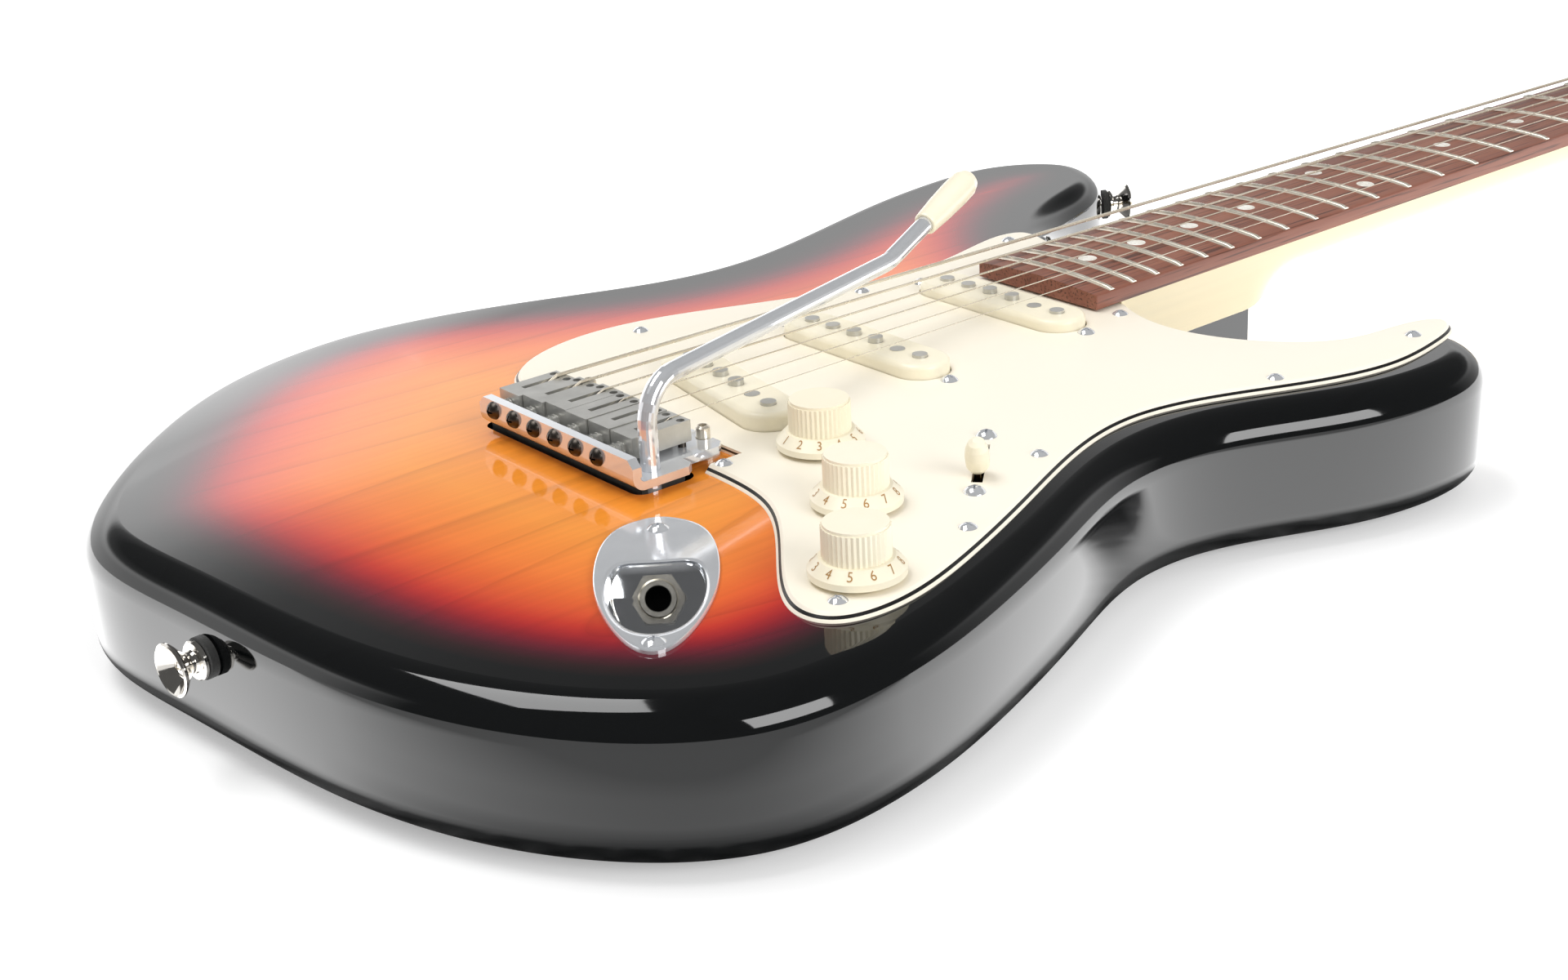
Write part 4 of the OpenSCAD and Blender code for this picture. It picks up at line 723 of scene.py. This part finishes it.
def make_jack():
    section = curve(CUP_PTS, 8)[0]
    rim = np.array(cup_ring(section, 1.0, level=PLATE_T))[:, :2]
    egg = curve(PLATE_PTS, 12)[0]
    middle = rim.mean(0)

    def bearing(q):
        return np.arctan2(q[:, 1] - middle[1], q[:, 0] - middle[0])

    order = np.argsort(bearing(egg))
    edge = np.stack([np.interp(bearing(rim), bearing(egg)[order], egg[order, k], period=2 * math.pi)
                     for k in (0, 1)], 1) * 0.97
    hole = section / np.linalg.norm(section, axis=1)[:, None]

    def flat(q, z):
        return np.c_[q, np.full(len(q), z)]

    rings = [flat(edge, 0.0), flat(edge, PLATE_T - 0.4), flat(edge * 0.993, PLATE_T - 0.1),
             flat(edge * 0.98, PLATE_T), flat(edge * 0.97, PLATE_T), cup_ring(section, 1.10, level=PLATE_T),
             cup_ring(section, 1.07, level=PLATE_T), cup_ring(section, 1.02, level=PLATE_T - 0.25),
             cup_ring(section, 0.99, level=PLATE_T - 1.2),
             cup_ring(section, 0.98, along=-1.2), cup_ring(section, 0.965, along=-0.3),
             cup_ring(section, 0.93, along=0.0), cup_ring(hole, BORE_R, along=0.0),
             cup_ring(hole, BORE_R, along=1.0),
             cup_ring(section, 1.04, along=1.0), cup_ring(section, 1.05, level=-0.4),
             flat(rim + (rim - middle) * 0.09, 0.0)]
    verts, faces = moved(ring_solid(rings), jack_place())
    plate = piece("jack_cup_plate", verts, faces, paints["cup_chrome"], stands_for=("jack_plate",))
    cut(plate, [moved(disc(s * PLATE_SCREW, 0, 1.65, -3, 4, 24), jack_place()) for s in (-1, 1)])
    shade(plate, 34)
    turns = np.radians(np.arange(0, 360, 7.5))
    sector = (turns + math.pi / 6) % (math.pi / 3) - math.pi / 6
    ringed = np.c_[np.cos(turns), np.sin(turns)]
    hexagon = ringed * (NUT_FLAT / np.cos(sector - np.sign(sector) * math.pi / 6))[:, None]
    chamfer = np.minimum(1, NUT_CHAMFER_R / np.linalg.norm(hexagon, axis=1))[:, None]
    rings = [cup_ring(hexagon, 1.0, along=-0.05), cup_ring(hexagon, 1.0, along=-2.0),
             cup_ring(chamfer * hexagon, 0.99, along=-2.6),
             cup_ring(ringed, 5.3, along=-2.6), cup_ring(ringed, BORE_R, along=-2.3),
             cup_ring(ringed, BORE_R, along=-0.05)]
    verts, faces = moved(ring_solid(rings), jack_place())
    piece("jack_hex_nut", verts, faces, paints["jack_metal"], sharp=25, stands_for=("jack_nut",))


make_jack()


# ---------- pickguard ----------

def make_guard():
    place, out = curve(GUARD_PTS, 16)
    bevel = GUARD_T * 0.9
    rings = []
    for s, z in ((0, 0), (0, 0.12), (0.1, 0.25), (bevel - 0.12, GUARD_T - 0.1), (bevel, GUARD_T - 0.02),
                 (bevel + 0.14, GUARD_T)):
        rings.append(np.c_[place - out * s, np.full(len(place), TOP + z)])
    verts, faces = loft(rings)
    obj = piece("pickguard_3ply", verts, faces, paints["white_plastic"], sharp=28,
                stands_for=("pickguard",))
    low, high = TOP - 1, TOP + GUARD_T + 1
    cutters = [box(-20, 15.5, -39.5, 39.5, low, high)]
    cutters.append(prism([(POCKET_X, -half_w(POCKET_X) - 0.3), (HEEL_X1, -half_w(HEEL_X1) - 0.3),
                          (HEEL_X1, half_w(HEEL_X1) + 0.3), (POCKET_X, half_w(POCKET_X) + 0.3)], low, high))
    for x, turn in PICKUPS:
        cutters.append(prism(placed(slot_shape(70.8, 19.2, 24), x, 0, turn), low, high))
        cutters += [disc(*placed([(0, s * 38.85)], x, 0, turn)[0], 1.6, low, high, 24) for s in (-1, 1)]
    cutters += [disc(x, y, 4.75, low, high) for x, y in KNOBS]
    cutters += [disc(x, y, 1.45, low, high, 24) for x, y in GUARD_SCREWS]
    cutters.append(prism(placed([(-14, -1.6), (14, -1.6), (14, 1.6), (-14, 1.6)], *SWITCH), low, high))
    cut(obj, cutters)
    shade(obj, 28)


make_guard()


# ---------- neck ----------

def shaft_thick(x):
    return 15.4 - 1.1 * (x - HEEL_X1) / (SCALE - HEEL_X1)


def smooth(a, b, x):
    t = min(1.0, max(0.0, (x - a) / (b - a)))
    return t * t * (3 - 2 * t)


def shaft_ring(x, top, thick, square, count=48):
    out = []
    for i in range(count + 1):
        t = i / count
        w, a = half_w(min(x, SCALE)), math.pi * t
        box_y = min(1, max(-1, 3 - 6 * t))
        box_z = min(1, 4 * t, 4 - 4 * t)
        arc_y = math.copysign(abs(math.cos(a)) ** 0.87, math.cos(a))
        arc_z = max(0.0, math.sin(a)) ** 0.87
        out.append((x, w * (square * box_y + (1 - square) * arc_y),
                    top - thick * (square * box_z + (1 - square) * arc_z)))
    return out


def make_neck():
    deep, drop = HEEL_D, GLUE_Z - HEAD_Z
    stations = [(POCKET_X + 0.05, 0, deep, 1), (HEEL_X1 - 6, 0, deep, 1)]
    for t in np.linspace(0, 1, 16):
        x = HEEL_X1 - 6 + 38 * t
        square = 1 - smooth(HEEL_X1 - 4, HEEL_X1 + 26, x)
        stations.append((x + 0.01, 0, shaft_thick(x) + (deep - shaft_thick(x)) * (1 - smooth(-0.1, 1, t)),
                         square))
    stations += [(x, 0, shaft_thick(x), 0) for x in np.linspace(HEEL_X1 + 34, SCALE - 10, 24)]
    x1 = SCALE + NUT_T
    for t in np.linspace(0, 1, 12):
        stations.append((x1 + 0.5 + 22 * t, (drop + 0.4) * smooth(-0.25, 1.15, t),
                         14.8 - 2.2 * t, 0.05 + 0.35 * t))
    verts, faces = loft([shaft_ring(x, GLUE_Z - d, t, q) for x, d, t, q in stations])
    shaft = piece("maple_neck", verts, faces, paints["maple"], sharp=40,
                  stands_for=("neck",))
    place, out = curve(HEAD_PTS, 14)
    rings, r = [], HEAD_ROUND
    for a in np.linspace(0, 90, 7):
        s, z = r * (1 - math.sin(math.radians(a))), r * (1 - math.cos(math.radians(a)))
        rings.append((s, z))
    rows = [np.c_[place - out * s, np.full(len(place), HEAD_Z - HEAD_T + z)] for s, z in rings]
    rows += [np.c_[place - out * s, np.full(len(place), HEAD_Z - z)] for s, z in reversed(rings)]
    join(shaft, loft(rows))
    posts = [disc(POST_AT[0] + POST_STEP[0] * i, POST_AT[1] + POST_STEP[1] * i, POST_R,
                  HEAD_Z - HEAD_T - 1, HEAD_Z + 1) for i in range(6)]
    cut(shaft, posts)
    shade(shaft, 40)


make_neck()


def make_board():
    x0, x1 = POCKET_X - 12, SCALE - 0.02
    rings = []
    for x in (x0, x0 + 0.3, *np.linspace(x0 + 1, x1 - 0.4, 30), x1):
        w = half_w(x) - (0.25 if x in (x0, x1) else 0)
        top = [(x, y, BOARD_Z - BOARD_R + math.sqrt(BOARD_R ** 2 - y * y))
               for y in np.linspace(w - 0.5, 0.5 - w, 33)]
        side = top[0][2]
        ring = [(x, w, GLUE_Z + 0.02), (x, w, side - 0.5), (x, w - 0.12, side - 0.15), *top,
                (x, -w + 0.12, side - 0.15), (x, -w, side - 0.5), (x, -w, GLUE_Z + 0.02)]
        rings.append(ring)
    verts, faces = loft(rings)
    board = piece("rosewood_board", verts, faces, paints["rosewood"], sharp=30,
                  stands_for=("fingerboard",))
    cut(board, [disc((fret_x(n) + fret_x(n - 1)) / 2, y, DOT_R + 0.02, BOARD_Z - 1.2, BOARD_Z + 1, 32)
                for n in DOT_FRETS for y in ((-DOT_12, DOT_12) if n == 12 else (0,))])
    shade(board, 30)


make_board()


def make_frets():
    for n in range(1, FRETS + 1):
        x, rings = fret_x(n), []
        span = math.asin((half_w(x) - 0.6) / BOARD_R)
        for a in np.linspace(span, -span, 25):
            end = min(1.0, 0.55 + (span - abs(a)) * BOARD_R / 1.2)
            ring = []
            for b in np.linspace(0, 180, 11):
                r = BOARD_R + 0.02 + FRET_R * end * math.sin(math.radians(b))
                ring.append((x + FRET_R * math.cos(math.radians(b)), r * math.sin(a),
                             BOARD_Z - BOARD_R + r * math.cos(a)))
            rings.append(ring)
        verts, faces = loft(rings)
        piece(f"fret_{n:02d}", verts, faces, paints["nickel"], sharp=50,
              stands_for=("frets",) if n == 1 else ())


make_frets()


# ---------- strings and springs, as copies of the CAD pieces --------------

def make_flexible(node, name, paint):
    """A copy of a CAD piece in its place, with its own paint; the piece itself is hidden."""
    source = frame["nodes"][node]
    obj = bpy.data.objects.new(name, source.data.copy())
    bpy.context.scene.collection.objects.link(obj)
    obj.matrix_world = source.matrix_world
    dress(obj, paints[paint])
    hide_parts(node)
    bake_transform(obj)


make_flexible("strings", "string_set", "string_wire")
make_flexible("tremolo_springs", "tremolo_spring_set", "steel")


# ---------- knob figures ----------

def make_figures():
    """The dial numbers 1 to 10, printed round each knob's skirt."""
    z0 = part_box("volume_knob")[0].z / MM
    for (body, turn), (x, y) in zip(KNOB_TURNS.items(), KNOBS):
        verts, faces = [], []
        for n in range(1, 11):
            text = bpy.data.curves.new("figure", "FONT")
            text.body, text.align_x = str(n), "CENTER"
            holder = bpy.data.objects.new("figure", text)
            flat = bpy.data.meshes.new_from_object(holder)
            bpy.data.objects.remove(holder)
            p = np.array([v.co for v in flat.vertices])
            scale = FIGURE_H / np.ptp(p[:, 1])
            up = (p[:, 1] - p[:, 1].min()) * scale - FIGURE_H / 2
            angle = math.radians(turn + 30 * (n - 5)) + p[:, 0] * scale * 0.86 / SKIRT_MID[0]
            r = SKIRT_MID[0] + (FIGURE_PROUD - up) * math.sqrt(0.5)
            z = SKIRT_MID[1] + (FIGURE_PROUD + up) * math.sqrt(0.5)
            faces += [[len(verts) + i for i in f.vertices] for f in flat.polygons]
            verts += list(zip(x + r * np.cos(angle), y + r * np.sin(angle), z0 + z))
        piece(f"figures_{body}", verts, faces, paints["figures"], body=body)


make_figures()


# ---------- floor, light and camera ----------

# what the camera sees the floor give off by itself, near the body and far from it; the lower glow near the
# body is a painted shadow
FLOOR_SEEN = 0.34
FLOOR_FAR = 0.6
# what glossy rays alone see, fitted to the photo's reflections
FLOOR_SHINE = 3.0
SWEEP_SHINE = 1.1
ROOM_SHINE = 0.11
TO_FRONT = (-0.643, -0.766, 0.0)
# what lights the object evenly
FILL = 0.55
CAMERA_AT = (-0.358281, -0.529850, 0.294615)
CAMERA_TURN = (1.17435496, 0.04794526, -0.68981331)
LENS = 53.4923


def make_stage():
    """Pale paper. Glossy rays alone see it shine, dimmer near the body and on the camera's side: a painted
    shadow in its reflections.
    """
    outline, _ = curve(BODY_PTS, 6)
    xs = np.r_[-30000, -3000, -900, np.arange(-300, 501, 10), 1200, 3000, 30000]
    ys = np.r_[-30000, -3000, -900, np.arange(-350, 351, 10), 900, 3000, 30000]
    grid = np.stack(np.meshgrid(xs, ys, indexing="ij"), -1).reshape(-1, 2)
    faces = [(i * len(ys) + j, (i + 1) * len(ys) + j, (i + 1) * len(ys) + j + 1, i * len(ys) + j + 1)
             for i in range(len(xs) - 1) for j in range(len(ys) - 1)]
    mesh = bpy.data.meshes.new("floor")
    mesh.from_pydata((np.c_[grid, np.zeros(len(grid))] * MM).tolist(), [], faces)
    clear = np.where([inside(q, outline) for q in grid], 0.0, distance(grid, outline))
    mesh.attributes.new("clear", "FLOAT", "POINT").data.foreach_set("value", np.minimum(clear / FIELD, 1.0))
    floor = bpy.data.objects.new("floor", mesh)
    bpy.context.scene.collection.objects.link(floor)
    mat = bpy.data.materials.new("paper")
    mat.use_nodes = True
    g = Graph(mat.node_tree)
    ray = g.new("ShaderNodeLightPath").outputs
    near = g.new("ShaderNodeVectorMath", g.place, TO_FRONT, operation="DOT_PRODUCT").outputs["Value"]
    # painted shadow for glossy rays: the shine drops near the body, most on the camera's side
    front = g.ramp(g.field("clear"), [(0.0, 0.05), (0.12, 0.12), (0.17, 0.27), (0.24, 0.8), (0.40, 1.0)])
    front = g.mix((1.0, 1.0, 1.0), front, g.span(near, 0, 1, 0.13, 0.20))
    edge = g.ramp(g.field("clear"), [(0.0, 0.02), (0.05, 0.12), (0.09, 0.6), (0.14, 1.0)])
    fade = g.span(near, FLOOR_SHINE, FLOOR_SHINE * 0.35, 0.14, 0.225)
    shine = g.math("MULTIPLY", g.tint(front, edge), fade)
    paper = g.new("ShaderNodeBsdfDiffuse", (0.82, 0.82, 0.82))
    # painted shadow: the glow the camera sees is lower near the body
    white = g.span(g.field("clear"), FLOOR_SEEN, FLOOR_FAR, 0.3, 1.0)
    lift = g.new("ShaderNodeEmission", (1.0, 1.0, 1.0), g.math("MULTIPLY", ray["Is Camera Ray"], white))
    seen = g.new("ShaderNodeAddShader", paper.outputs[0], lift.outputs[0])
    mirrored = g.new("ShaderNodeEmission", (1.0, 1.0, 1.0), shine)
    both = g.new("ShaderNodeMixShader", ray["Is Glossy Ray"], seen.outputs[0], mirrored.outputs[0])
    g.new("ShaderNodeOutputMaterial", both.outputs[0])
    mesh.materials.append(mat)


def make_world():
    """White to the camera, even fill on the object. Glossy rays alone see a pale sweep and a dim room."""
    world = bpy.data.worlds.new("studio")
    bpy.context.scene.world = world
    world.use_nodes = True
    g = Graph(world.node_tree, "Generated")
    along = g.new("ShaderNodeSeparateXYZ", g.place).outputs
    heading = g.span(g.math("ARCTAN2", along["Y"], along["X"]), 0, 1, -math.pi, math.pi)
    up = g.math("ADD", along["Z"], g.span(heading, 0.022, 0.0, 0.670, 0.690))
    low = g.ramp(up, [(0.0, 0.75), (0.27, 0.8), (0.345, 1.0), (0.372, 0.8), (0.391, 0.34), (0.415, 0.1),
                      (0.50, 0.0)])
    wall = g.ramp(heading, [(0.40, 0.0), (0.52, 0.5), (0.665, 0.5), (0.69, 0.95), (0.71, 0.8),
                            (0.9, 0.5), (0.95, 0.0)])
    shown = g.new("ShaderNodeBackground", g.tint(low, wall), 2 * SWEEP_SHINE)
    room = g.new("ShaderNodeBackground", (1.0, 1.0, 1.0), ROOM_SHINE)
    shown = g.new("ShaderNodeAddShader", shown.outputs[0], room.outputs[0])
    fill = g.new("ShaderNodeBackground", (1.0, 1.0, 1.0), FILL)
    white = g.new("ShaderNodeBackground", (1.0, 1.0, 1.0), 1.0)
    ray = g.new("ShaderNodeLightPath").outputs
    lit = g.new("ShaderNodeMixShader", ray["Is Glossy Ray"], fill.outputs[0], shown.outputs[0])
    seen = g.new("ShaderNodeMixShader", ray["Is Camera Ray"], lit.outputs[0], white.outputs[0])
    g.new("ShaderNodeOutputWorld", seen.outputs[0])


def softbox(name, place, aim, size, power):
    light = bpy.data.lights.new(name, "AREA")
    light.shape, light.size, light.size_y, light.energy = "RECTANGLE", size[0], size[1], power
    obj = bpy.data.objects.new(name, light)
    bpy.context.scene.collection.objects.link(obj)
    obj.location = place
    obj.rotation_euler = (Vector(aim) - Vector(place)).to_track_quat("-Z", "Y").to_euler()


def make_camera():
    cam = bpy.data.cameras.new("camera")
    obj = bpy.data.objects.new("camera", cam)
    bpy.context.scene.collection.objects.link(obj)
    obj.location = CAMERA_AT
    obj.rotation_euler = CAMERA_TURN
    cam.lens, cam.sensor_width = LENS, 36.0
    cam.clip_start, cam.clip_end = 0.01, 100
    bpy.context.scene.camera = obj


make_stage()
make_world()
softbox("key", (-0.5, 0.6, 2.2), (0.2, 0, 0), (1.6, 1.0), 26)
softbox("fill", (0.2, -2.0, 1.0), (0.2, 0, 0), (1.4, 0.9), 24)
make_camera()
bpy.context.scene.view_settings.view_transform = "Standard"
